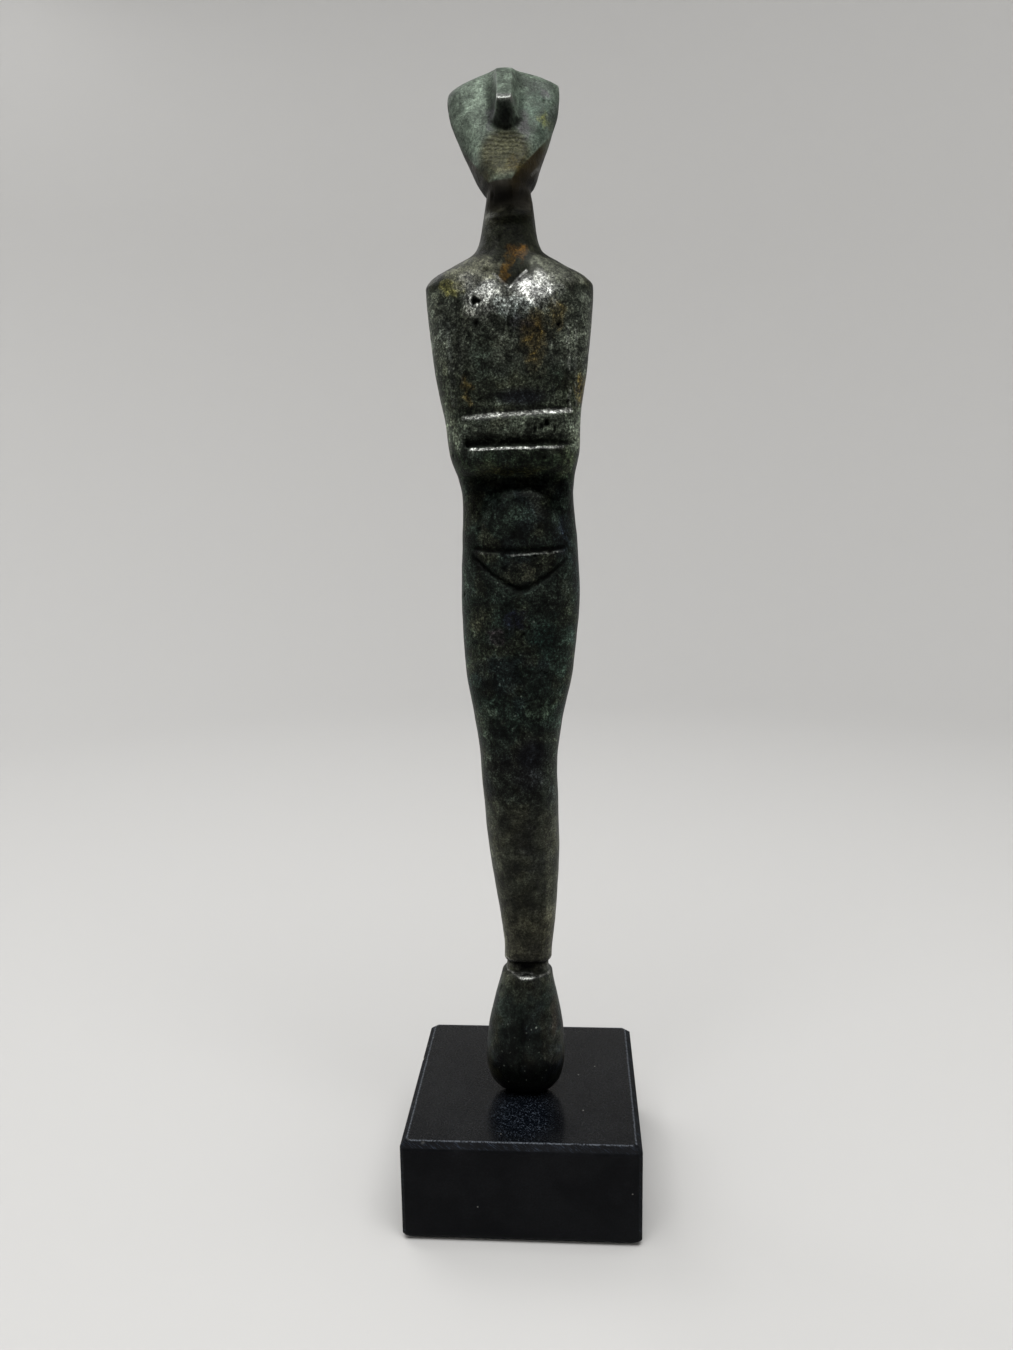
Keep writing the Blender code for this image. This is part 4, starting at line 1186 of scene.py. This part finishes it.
def cast_skin_tree():
    """The skin of a rough casting: lumps, grain, scattered pits, and file strokes under the nose."""
    tree = bpy.data.node_groups.new("cast_skin", "GeometryNodeTree")
    graph = Graph(tree)
    group_in = add_inputs(tree, (
        ("Lump Size", "NodeSocketFloat"), ("Lump Depth", "NodeSocketFloat"),
        ("Grain Size", "NodeSocketFloat"), ("Grain Depth", "NodeSocketFloat"),
        ("Pit Spacing", "NodeSocketFloat"), ("Pit Radius", "NodeSocketFloat"),
        ("Pit Depth", "NodeSocketFloat"), ("Stroke Pitch", "NodeSocketFloat"),
        ("Stroke Depth", "NodeSocketFloat"), ("Stroke Place", "NodeSocketVector"),
        ("Stroke Area", "NodeSocketVector"), ("Seed", "NodeSocketInt"), ("Material", "NodeSocketMaterial"),
    ))
    given = {output.name: output for output in group_in.outputs if output.name}
    here = graph.node("GeometryNodeInputPosition").outputs[0]

    def noise(size, detail):
        scale = graph.maths("DIVIDE", 1.0, size)
        made = graph.node("ShaderNodeTexNoise", None, {"Vector": here, "Scale": scale, "Detail": detail})
        return Num(graph, made.outputs[0]) - 0.5

    rough = stored(graph, "cut") * 3.0 + 1.0
    lumps = noise(given["Lump Size"], 1.0)
    relief = lumps * given["Lump Depth"] + noise(given["Grain Size"], 2.0) * given["Grain Depth"] * rough

    points = scattered(graph, given["Geometry"], given["Pit Spacing"], given["Seed"])
    pits = hollows(graph, points, given["Pit Radius"], given["Seed"])
    relief = relief - pits * given["Pit Depth"]

    across, _, height = graph.parts(here)
    ripple = noise(graph.maths("MULTIPLY", given["Stroke Pitch"], 2.5), 2.0)
    turns = (height + across * 0.12) / given["Stroke Pitch"] + ripple * 1.6
    wave = graph.maths("SINE", turns * (2.0 * math.pi))
    away = graph.vector("DIVIDE", graph.vector("SUBTRACT", here, given["Stroke Place"]), given["Stroke Area"])
    strokes = wave * graph.soft(graph.length(away), 1.05, 0.75)
    relief = relief + strokes * given["Stroke Depth"]

    normal = graph.node("GeometryNodeInputNormal").outputs[0]
    moved = pushed(graph, given["Geometry"], normal, relief)
    end_tree(graph, marked(graph, moved, "pit", pits), group_in)
    return tree


def worn_block_tree():
    """The wear of a cut block: slanting grinding marks on its bevels, and nicks along them."""
    tree = bpy.data.node_groups.new("worn_block", "GeometryNodeTree")
    graph = Graph(tree)
    group_in = add_inputs(tree, (
        ("Mark Pitch", "NodeSocketFloat"), ("Mark Depth", "NodeSocketFloat"),
        ("Nick Spacing", "NodeSocketFloat"), ("Nick Radius", "NodeSocketFloat"),
        ("Nick Depth", "NodeSocketFloat"), ("Seed", "NodeSocketInt"), ("Material", "NodeSocketMaterial"),
    ))
    given = {output.name: output for output in group_in.outputs if output.name}
    here = graph.node("GeometryNodeInputPosition").outputs[0]
    bevel = stored(graph, "bevel")
    x, y, z = graph.parts(here)
    across = (x + y + z * MARK_SLANT) / given["Mark Pitch"]
    uneven = graph.node("ShaderNodeTexNoise", None, {"Vector": graph.join(across, 0.0, 0.0), "Scale": 1.0})
    marks = (Num(graph, uneven.outputs[0]) - 0.5) * bevel * given["Mark Depth"]
    edge = graph.maths("GREATER_THAN", bevel, 0.5)
    points = scattered(graph, given["Geometry"], given["Nick Spacing"], given["Seed"], edge)
    nicks = hollows(graph, points, given["Nick Radius"], given["Seed"])
    relief = marks - nicks * given["Nick Depth"]
    outward = graph.vector("NORMALIZE", graph.join(x, y, z - BLOCK_BOX[1][2] / 2.0))
    moved = pushed(graph, given["Geometry"], outward, relief)
    end_tree(graph, marked(graph, moved, "nick", nicks), group_in)
    return tree


def run_tree(piece, tree, values):
    """Shapes a piece by a geometry node tree, and leaves the result as its plain mesh."""
    modifier = piece.modifiers.new(tree.name, "NODES")
    modifier.node_group = tree
    for item in tree.interface.items_tree:
        if item.in_out == "INPUT" and item.name in values:
            modifier[item.identifier] = values[item.name]
    piece.update_tag()
    graph = bpy.context.evaluated_depsgraph_get()
    mesh = bpy.data.meshes.new_from_object(piece.evaluated_get(graph), depsgraph=graph)
    piece.modifiers.remove(modifier)
    old, piece.data = piece.data, mesh
    bpy.data.meshes.remove(old)


def vectors(mesh, kind):
    """The places or the normals of a mesh's points."""
    values = np.empty(len(mesh.vertices) * 3)
    mesh.vertices.foreach_get(kind, values)
    return values.reshape(-1, 3)


def neighbours(mesh):
    """The two ends of each edge, and how many edges meet at each point."""
    pairs = np.empty(len(mesh.edges) * 2, dtype=np.int64)
    mesh.edges.foreach_get("vertices", pairs)
    start, end = pairs.reshape(-1, 2).T
    count = len(mesh.vertices)
    return start, end, np.bincount(start, minlength=count) + np.bincount(end, minlength=count)


def evened(mesh, values, rounds):
    """Values on a mesh's points, averaged with their neighbours over some rounds."""
    start, end, number = neighbours(mesh)
    for _ in range(rounds):
        sums = np.bincount(start, values[end], len(values)) + np.bincount(end, values[start], len(values))
        values = (values + sums / number) / 2.0
    return values


def mesh_curvature(mesh, rounds):
    """How hollow the surface is at each point, positive in hollows, evened out over some rounds."""
    place, normal = vectors(mesh, "co"), vectors(mesh, "normal")
    start, end, number = neighbours(mesh)
    step = place[end] - place[start]
    far = np.maximum((step**2).sum(axis=1), 1e-14)
    bend = (step * normal[start]).sum(axis=1) / far
    other = -(step * normal[end]).sum(axis=1) / far
    hollow = np.bincount(start, bend, len(place)) + np.bincount(end, other, len(place))
    return evened(mesh, hollow / number, rounds)


def hollowness(mesh, rounds, full):
    """How hollow each point is, from 0 to 1 at a full curvature."""
    return np.clip(mesh_curvature(mesh, rounds) / full, 0.0, 1.0)


def sheltered(mesh, reach):
    """How far each point is kept from the light above, by its own slant and by what overhangs it, 0 to 1."""
    faces = [tuple(face.vertices) for face in mesh.polygons]
    place, normal = vectors(mesh, "co"), vectors(mesh, "normal")
    tree = BVHTree.FromPolygons(place.tolist(), faces)
    starts = place + normal * SHELTER_LIFT
    light, wall = np.zeros(len(place)), 0.0
    for elevation, number in SHELTER_RAYS:
        for azimuth in 2.0 * math.pi * (np.arange(number) + 0.5) / number:
            flat = math.cos(elevation)
            ray = np.array((flat * math.cos(azimuth), flat * math.sin(azimuth), math.sin(elevation)))
            facing = normal @ ray
            lit = np.nonzero(facing > 0.02)[0]
            free = [tree.ray_cast(Vector(starts[i]), Vector(ray), reach)[0] is None for i in lit]
            light[lit] += facing[lit] * np.array(free)
            wall += max(-ray[1], 0.0)
    shut = np.clip((1.0 - light / wall - SHELTER_FREE) / (1.0 - SHELTER_FREE), 0.0, 1.0)
    return evened(mesh, shut, 2)


def keep_within(mesh, low, high):
    """Brings points that the wear has pushed out of a box back to its sides."""
    place = np.clip(vectors(mesh, "co"), low, high)
    mesh.vertices.foreach_set("co", place.ravel())
    mesh.update()


def store(mesh, name, values):
    """Keeps a number for each point of a mesh, for its material to read."""
    kept = mesh.attributes.get(name) or mesh.attributes.new(name, "FLOAT", "POINT")
    kept.data.foreach_set("value", np.asarray(values, dtype=np.float32))


def read(mesh, name):
    """The numbers that are kept on a mesh's points under a name."""
    values = np.empty(len(mesh.vertices), dtype=np.float32)
    mesh.attributes[name].data.foreach_get("value", values)
    return values


def colour_setting(name, description, colour):
    """A colour that a user would change."""
    return FloatVectorProperty(
        name=name, description=description, subtype="COLOR", size=4, default=(*colour, 1.0)
    )


def length_setting(name, description, metres):
    """A length that a user would change."""
    return FloatProperty(name=name, description=description, default=metres, unit="LENGTH", precision=6)


def place_setting(name, description, place):
    """A place in the scene that a user would change."""
    return FloatVectorProperty(
        name=name, description=description, subtype="XYZ", unit="LENGTH", default=place
    )


def power_setting(name, description, watts):
    """The power of a light."""
    return FloatProperty(name=name, description=description, default=watts, unit="POWER")


def angle_setting(name, description, degrees):
    """An angle, given in degrees."""
    return FloatProperty(
        name=name, description=description, default=math.radians(degrees), subtype="ANGLE"
    )


class FigureSettings(bpy.types.PropertyGroup):
    """Sizes of the figure's surface."""

    rings: IntProperty(name="Rings", description="Rings of points up the figure", default=480, min=50)
    front_points: IntProperty(name="Front Points", description="Points across the front", default=120, min=20)
    back_points: IntProperty(name="Back Points", description="Points across the back", default=84, min=20)
    lump_size: length_setting("Lump Size", "Width of the casting's uneven swells", 0.0065)
    lump_depth: length_setting("Lump Depth", "Height of the swells", 0.00028)
    grain_size: length_setting("Grain Size", "Width of the casting's grain", 0.0013)
    grain_depth: length_setting("Grain Depth", "Height of the grain", 0.00007)
    pit_spacing: length_setting("Pit Spacing", "Distance between casting pits", 0.0085)
    pit_radius: length_setting("Pit Radius", "Radius of the largest scattered pits", 0.00065)
    pit_depth: length_setting("Pit Depth", "Depth of the largest scattered pits", 0.00028)
    stroke_pitch: length_setting("Stroke Pitch", "Distance between the file strokes on the chin", 0.00085)
    stroke_depth: length_setting("Stroke Depth", "Depth of the file strokes", 0.00004)
    seed: IntProperty(name="Seed", description="Which scatter of pits is used", default=11)


class BronzeSettings(bpy.types.PropertyGroup):
    """Colours and finish of the patinated bronze."""

    ground: colour_setting("Ground", "The green-black of the patina", (0.0085, 0.0105, 0.0085))
    olive: colour_setting("Olive", "The warm olive areas", (0.0155, 0.0145, 0.0075))
    blue: colour_setting("Blue", "The blue-black areas", (0.0040, 0.0050, 0.0095))
    chin: colour_setting("Chin", "The filed olive area of the chin", (0.040, 0.0385, 0.0205))
    jaw: colour_setting("Jaw", "The dark cut under the jaw", (0.027, 0.025, 0.0200))
    brown: colour_setting("Brown", "The brown side of the jaw", (0.020, 0.0145, 0.0050))
    crust: colour_setting("Crust", "Pale dots of crust on the feet and thighs", (0.075, 0.082, 0.070))
    bare: colour_setting("Bare", "Bronze that hands keep bright", (0.150, 0.152, 0.142))
    tearing: FloatProperty(
        name="Tearing", description="How far the edges of stains wander, in millimetres", default=5.0
    )
    # Painted shade: how many stops the places kept from the light above are darkened.
    shade: FloatProperty(name="Shade", description="Darkening of sheltered places, in stops", default=4.0)
    mottling: FloatProperty(name="Mottling", description="Strength of the mottling, in stops", default=10.0)
    graining: FloatProperty(name="Graining", description="Strength of the grain, in stops", default=9.5)
    roughness: FloatProperty(name="Roughness", description="Roughness of the patina", default=0.44)
    metal: FloatProperty(name="Metal", description="How far the metal shows through", default=0.4)
    wax: FloatProperty(name="Wax", description="Weight of the waxy coat", default=0.05)
    bump_depth: length_setting("Bump Depth", "Depth of the finest grain", 0.00012)


class StoneSettings(bpy.types.PropertyGroup):
    """Sizes and colours of the stone block."""

    bevel: length_setting("Bevel", "Width of the flat bevel on the level edges", 0.0011)
    corner_bevel: length_setting("Corner Bevel", "Width of the bevel on the upright edges", 0.0007)
    mark_pitch: length_setting("Mark Pitch", "Distance between grinding marks", 0.0007)
    mark_depth: length_setting("Mark Depth", "Depth of the grinding marks", 0.00004)
    nick_spacing: length_setting("Nick Spacing", "Distance between nicks in the bevels", 0.007)
    nick_radius: length_setting("Nick Radius", "Radius of the largest nicks", 0.0006)
    nick_depth: length_setting("Nick Depth", "Depth of the largest nicks", 0.0002)
    seed: IntProperty(name="Seed", description="Which scatter of nicks is used", default=3)
    dark: colour_setting("Dark", "The stone's ground", (0.0024, 0.0027, 0.0034))
    light: colour_setting("Light", "Its faint clouds", (0.0042, 0.0046, 0.0054))
    # The ground of the foot's painted reflection
    reflection_ground: colour_setting("Deep", "The blue-black ground of the bare crystals", (0.0008, 0.0016, 0.0030))
    mark: colour_setting("Mark", "The ground marks on the bevels", (0.0200, 0.0260, 0.0370))
    # A pale line painted along the top's edge as its highlight
    rim: colour_setting("Rim", "The worn line along the top's edge", (0.085, 0.095, 0.110))
    speck: colour_setting("Speck", "The pale specks", (0.14, 0.14, 0.13))
    # Mostly shown in the foot's painted reflection
    crystal: colour_setting("Crystal", "The fine bluish crystals", (0.070, 0.085, 0.110))
    roughness: FloatProperty(name="Roughness", description="Roughness of the honed sides", default=0.42)
    bump_depth: length_setting("Bump Depth", "Depth of the honed grain", 0.000012)


class StageSettings(bpy.types.PropertyGroup):
    """The pale surround, the lights and the camera."""

    floor_colour: colour_setting("Floor", "Colour of the surround", (0.48, 0.475, 0.465))
    floor_radius: length_setting("Floor Radius", "Radius of the flat floor", 0.9)
    wall_height: length_setting("Wall Height", "Height of the surround's wall", 1.3)
    key_place: place_setting("Key Place", "Where the main light hangs", (0.05, -0.38, 0.86))
    key_power: power_setting("Key Power", "Power of the main light", 7.0)
    key_width: length_setting("Key Width", "Width of the main light", 0.9)
    key_depth: length_setting("Key Depth", "Depth of the main light", 0.3)
    top_place: place_setting("Top Place", "Where the light overhead hangs", (0.0, -0.06, 0.98))
    top_power: power_setting("Top Power", "Power of the light overhead", 4.5)
    top_width: length_setting("Top Width", "Width of the light overhead", 0.9)
    top_depth: length_setting("Top Depth", "Depth of the light overhead", 0.45)
    back_place: place_setting("Back Place", "Where the light behind hangs", (-0.5, 0.45, 0.8))
    back_power: power_setting("Back Power", "Power of the light behind", 2.5)
    back_size: length_setting("Back Size", "Width of the light behind", 0.5)
    fill_strength: FloatProperty(name="Fill", description="Strength of the light from all round", default=0.2)
    camera_place: place_setting("Camera Place", "Where the camera stands", (0.00998, -0.19208, 0.13602))
    camera_yaw: angle_setting("Camera Yaw", "Turn to the left of straight ahead", 3.769)
    camera_pitch: angle_setting("Camera Pitch", "Tilt below level", 9.386)
    camera_roll: angle_setting("Camera Roll", "Turn about its own line of sight", -0.873)
    camera_lens: FloatProperty(name="Camera Lens", description="Focal length in millimetres", default=27.04)


class IdolSettings(bpy.types.PropertyGroup):
    """All settings of the idol, its block and the stage."""

    figure: PointerProperty(type=FigureSettings)
    bronze: PointerProperty(type=BronzeSettings)
    stone: PointerProperty(type=StoneSettings)
    stage: PointerProperty(type=StageSettings)


def sink_found_pits(rings):
    """Presses the larger casting faults into the front of the figure, and says where they lie, 0 to 1."""
    x, y, z = rings[..., 0], rings[..., 1], rings[..., 2]
    facing = y < np.median(y, axis=1, keepdims=True)
    faults = np.zeros(x.shape)
    for across, height, half, depth in FOUND_PITS:
        skew = FAULT_WANDER * np.sin((x - across) * FAULT_RATE + height)
        far = np.hypot((x - across) / half, (z - height) / (FAULT_SQUASH * half)) + skew
        share = np.where(facing, smooth(far, *FAULT_WALL), 0.0)
        y = y + depth * share
        faults = np.maximum(faults, share * depth)
    return np.stack([x, y, z], axis=-1), faults.ravel()


def make_figure(settings, finish):
    """The figure at full fineness, on the block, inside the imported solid's box."""
    rings = figure_rings(settings.rings, settings.front_points, settings.back_points)
    rings, faults = sink_found_pits(rings)
    low, high = FIGURE_BOX
    rings = rings * ((high[2] - low[2]) / rings[..., 2].max())
    rings[..., 2] += low[2]
    rings[0, :, 2] = BLOCK_BOX[1][2]
    piece = add_object("bronze_idol", ring_mesh("bronze_idol", rings))
    store(piece.data, "fault", faults)
    store(piece.data, "cut", hollowness(piece.data, *CUT_READING))
    centre, half_sizes = (tuple(MM * value for value in row) for row in CHIN_STROKES)
    run_tree(piece, cast_skin_tree(), {
        "Lump Size": settings.lump_size, "Lump Depth": settings.lump_depth,
        "Grain Size": settings.grain_size, "Grain Depth": settings.grain_depth,
        "Pit Spacing": settings.pit_spacing, "Pit Radius": settings.pit_radius,
        "Pit Depth": settings.pit_depth, "Stroke Pitch": settings.stroke_pitch,
        "Stroke Depth": settings.stroke_depth, "Stroke Place": centre, "Stroke Area": half_sizes,
        "Seed": settings.seed, "Material": finish,
    })
    keep_within(piece.data, (-1.0, -1.0, BLOCK_BOX[1][2]), (1.0, 1.0, high[2]))
    cavity = hollowness(piece.data, *WIDE_READING) + hollowness(piece.data, *TIGHT_READING)
    cavity = cavity + PIT_SHARE * read(piece.data, "pit")
    store(piece.data, "cavity", np.clip(cavity, 0.0, 1.0))
    rubbed = -mesh_curvature(piece.data, WIDE_READING[0]) / RUBBED_CURVE
    store(piece.data, "rub", np.clip(rubbed - RUBBED_PAST, 0.0, 1.0))
    # The share of the light above that each point misses, which the bronze paints as shade.
    store(piece.data, "painted_shade", sheltered(piece.data, SHELTER_REACH))
    # How far each point faces sideways, for the bronze's painted side light.
    store(piece.data, "side", np.abs(vectors(piece.data, "normal")[:, 0]))
    return piece


def block_outline(half, cut, along, across):
    """A square outline with its corners cut flat, and how much each point is on a cut."""
    points, cuts = [], []
    flat = half - cut
    for turn in range(4):
        angle = turn * math.pi / 2.0
        side = [(half, t, 0.0) for t in np.linspace(-flat, flat, along)]
        corner = [(half - cut * t, flat + cut * t, 1.0) for t in np.linspace(0.0, 1.0, across + 2)[1:-1]]
        for x, y, share in side + corner:
            points.append((
                x * math.cos(angle) - y * math.sin(angle), x * math.sin(angle) + y * math.cos(angle),
            ))
            cuts.append(share)
    return np.array(points), np.array(cuts)


def make_block(settings, finish):
    """The block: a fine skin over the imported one, with worn bevels."""
    half, height, bevel = BLOCK_BOX[1][0], BLOCK_BOX[1][2], settings.bevel
    rim = half - bevel - RIM_WIDTH
    slope = np.linspace(0.0, 1.0, BEVEL_RINGS)[1:-1]
    levels = [(0.0, rim, 0.0), (0.0, half - bevel, 0.0)]
    levels += [(bevel * t, half - bevel + bevel * t, 1.0) for t in slope]
    levels += [(z, half, 0.0) for z in np.linspace(bevel, height - bevel, SIDE_RINGS)]
    levels += [(height - bevel + bevel * t, half - bevel * t, 1.0) for t in slope]
    levels += [(height, half - bevel, 0.0), (height, rim, 0.0)]
    rings, bevels = [], []
    for z, reach, share in levels:
        outline, cuts = block_outline(half, settings.corner_bevel, SIDE_POINTS, CORNER_POINTS)
        shrunk = outline * (reach / half)
        rings.append(np.column_stack([shrunk, np.full(len(shrunk), z)]))
        bevels.append(np.maximum(cuts * (bevel <= z <= height - bevel), share))
    rings = np.array(rings)
    piece = add_object("stone_block", ring_mesh("stone_block", rings))
    store(piece.data, "bevel", np.concatenate(bevels))
    on_top = rings[..., 2].ravel() > height - LEVEL
    inside = np.abs(rings[..., :2]).max(axis=2).ravel() < rim + 0.5 * RIM_WIDTH
    store(piece.data, "polish", on_top & inside)
    # The thin ring round the top carries the painted highlight line.
    store(piece.data, "edge_highlight", on_top & ~inside)
    run_tree(piece, worn_block_tree(), {
        "Mark Pitch": settings.mark_pitch, "Mark Depth": settings.mark_depth,
        "Nick Spacing": settings.nick_spacing, "Nick Radius": settings.nick_radius,
        "Nick Depth": settings.nick_depth, "Seed": settings.seed, "Material": finish,
    })
    keep_within(piece.data, *BLOCK_BOX)
    return piece


class IDOL_OT_cast_figure(bpy.types.Operator):
    """Casts the figure and gives it its patina"""

    bl_idname = "idol.cast_figure"
    bl_label = "Cast the Figure"

    def execute(self, context):
        settings = context.scene.idol_settings
        piece = make_figure(settings.figure, bronze_material(settings.bronze))
        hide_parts("idol")
        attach(piece, "root")
        return {"FINISHED"}


class IDOL_OT_cut_block(bpy.types.Operator):
    """Cuts the stone block and hones it"""

    bl_idname = "idol.cut_block"
    bl_label = "Cut the Stone Block"

    def execute(self, context):
        settings = context.scene.idol_settings
        piece = make_block(settings.stone, stone_material(settings.stone))
        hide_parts("stone_base")
        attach(piece, "root")
        return {"FINISHED"}


# The surround: its sweep's radius as a share of the floor's, and the steps up and round it. Then the
# height that the lights face, as a share of the part's, and the tint of the light from all round.
SWEEP_SHARE = 0.45
SWEEP_STEPS = 16
ROUND_STEPS = 96
LIT_HEIGHT = 0.6
ROOM_TINT = (0.95, 0.97, 1.0, 1.0)


def make_surround(settings):
    """A round pale floor that sweeps up into a wall."""
    radius, height = settings.floor_radius, settings.wall_height
    sweep = SWEEP_SHARE * radius
    path = [(0.0, 0.0), (radius - sweep, 0.0)]
    for t in np.linspace(0.0, math.pi / 2.0, SWEEP_STEPS + 1)[1:]:
        path.append((radius - sweep + sweep * math.sin(t), sweep - sweep * math.cos(t)))
    path.append((radius, height))
    bm = bmesh.new()
    points = [bm.verts.new((out, 0.0, up)) for out, up in path]
    edges = [bm.edges.new(pair) for pair in zip(points, points[1:])]
    bmesh.ops.spin(
        bm, geom=points + edges, cent=(0.0, 0.0, 0.0), axis=(0.0, 0.0, 1.0), angle=2.0 * math.pi,
        steps=ROUND_STEPS,
    )
    bmesh.ops.remove_doubles(bm, verts=bm.verts, dist=1e-6)
    bmesh.ops.recalc_face_normals(bm, faces=bm.faces)
    mesh = bpy.data.meshes.new("surround")
    bm.to_mesh(mesh)
    bm.free()
    mesh.shade_smooth()
    mesh.materials.append(floor_material(settings))
    return add_object("surround", mesh)


def make_light(name, place, sizes, power):
    """A soft light that faces the figure."""
    target = Vector((0.0, 0.0, LIT_HEIGHT * FIGURE_BOX[1][2]))
    data = bpy.data.lights.new(name, "AREA")
    data.shape = "RECTANGLE"
    data.size, data.size_y = sizes
    data.energy = power
    light = add_object(name, data)
    light.location = place
    light.rotation_euler = (target - Vector(place)).to_track_quat("-Z", "Y").to_euler()


def make_room_light(strength):
    """Weak even light from all round."""
    world = bpy.data.worlds.new("soft_room")
    world.use_nodes = True
    graph = Graph(world.node_tree)
    sky = graph.node("ShaderNodeBackground", None, {"Color": ROOM_TINT, "Strength": strength})
    graph.node("ShaderNodeOutputWorld", None, {"Surface": sky.outputs[0]})
    bpy.context.scene.world = world


def make_camera(settings):
    """The camera, by its place, lens and three turns."""
    yaw, pitch, roll = settings.camera_yaw, settings.camera_pitch, settings.camera_roll
    ahead = Vector((
        -math.sin(yaw) * math.cos(pitch), math.cos(yaw) * math.cos(pitch), -math.sin(pitch),
    ))
    level = Vector((math.cos(yaw), math.sin(yaw), 0.0))
    above = level.cross(ahead)
    right = math.cos(roll) * level + math.sin(roll) * above
    up = -math.sin(roll) * level + math.cos(roll) * above
    turn = Matrix((right, up, -ahead)).transposed().to_4x4()
    data = bpy.data.cameras.new("camera")
    data.lens = settings.camera_lens
    data.sensor_width = 36.0
    data.clip_start = 0.01
    camera = add_object("camera", data)
    camera.matrix_world = Matrix.Translation(settings.camera_place) @ turn
    bpy.context.scene.camera = camera


class IDOL_OT_set_stage(bpy.types.Operator):
    """Sets the pale surround, the soft lights and the camera"""

    bl_idname = "idol.set_stage"
    bl_label = "Set the Stage"

    def execute(self, context):
        settings = context.scene.idol_settings.stage
        make_surround(settings)
        key_sizes = settings.key_width, settings.key_depth
        top_sizes = settings.top_width, settings.top_depth
        back_sizes = settings.back_size, settings.back_size
        make_light("key", settings.key_place, key_sizes, settings.key_power)
        make_light("top", settings.top_place, top_sizes, settings.top_power)
        make_light("back", settings.back_place, back_sizes, settings.back_power)
        make_room_light(settings.fill_strength)
        context.scene.view_settings.view_transform = "Standard"
        make_camera(settings)
        return {"FINISHED"}


class IDOL_PT_panel(bpy.types.Panel):
    """The idol's operators and settings in the sidebar"""

    bl_label = "Bronze Idol"
    bl_idname = "IDOL_PT_panel"
    bl_space_type = "VIEW_3D"
    bl_region_type = "UI"
    bl_category = "Idol"

    def draw(self, context):
        settings = context.scene.idol_settings
        for operator in OPERATORS:
            self.layout.operator(operator.bl_idname)
        for group in (settings.figure, settings.bronze, settings.stone, settings.stage):
            box = self.layout.box()
            for name in group.__annotations__:
                box.prop(group, name)


OPERATORS = (IDOL_OT_cast_figure, IDOL_OT_cut_block, IDOL_OT_set_stage)
CLASSES = (
    FigureSettings, BronzeSettings, StoneSettings, StageSettings, IdolSettings, *OPERATORS, IDOL_PT_panel,
)


def register():
    """Makes the settings, operators and panel known to Blender."""
    for made in CLASSES:
        bpy.utils.register_class(made)
    bpy.types.Scene.idol_settings = PointerProperty(type=IdolSettings)


def unregister():
    """Takes them away again."""
    del bpy.types.Scene.idol_settings
    for made in reversed(CLASSES):
        bpy.utils.unregister_class(made)


def main():
    """Builds the part and its stage."""
    register()
    bpy.ops.idol.cast_figure()
    bpy.ops.idol.cut_block()
    bpy.ops.idol.set_stage()


if __name__ == "__main__":
    main()
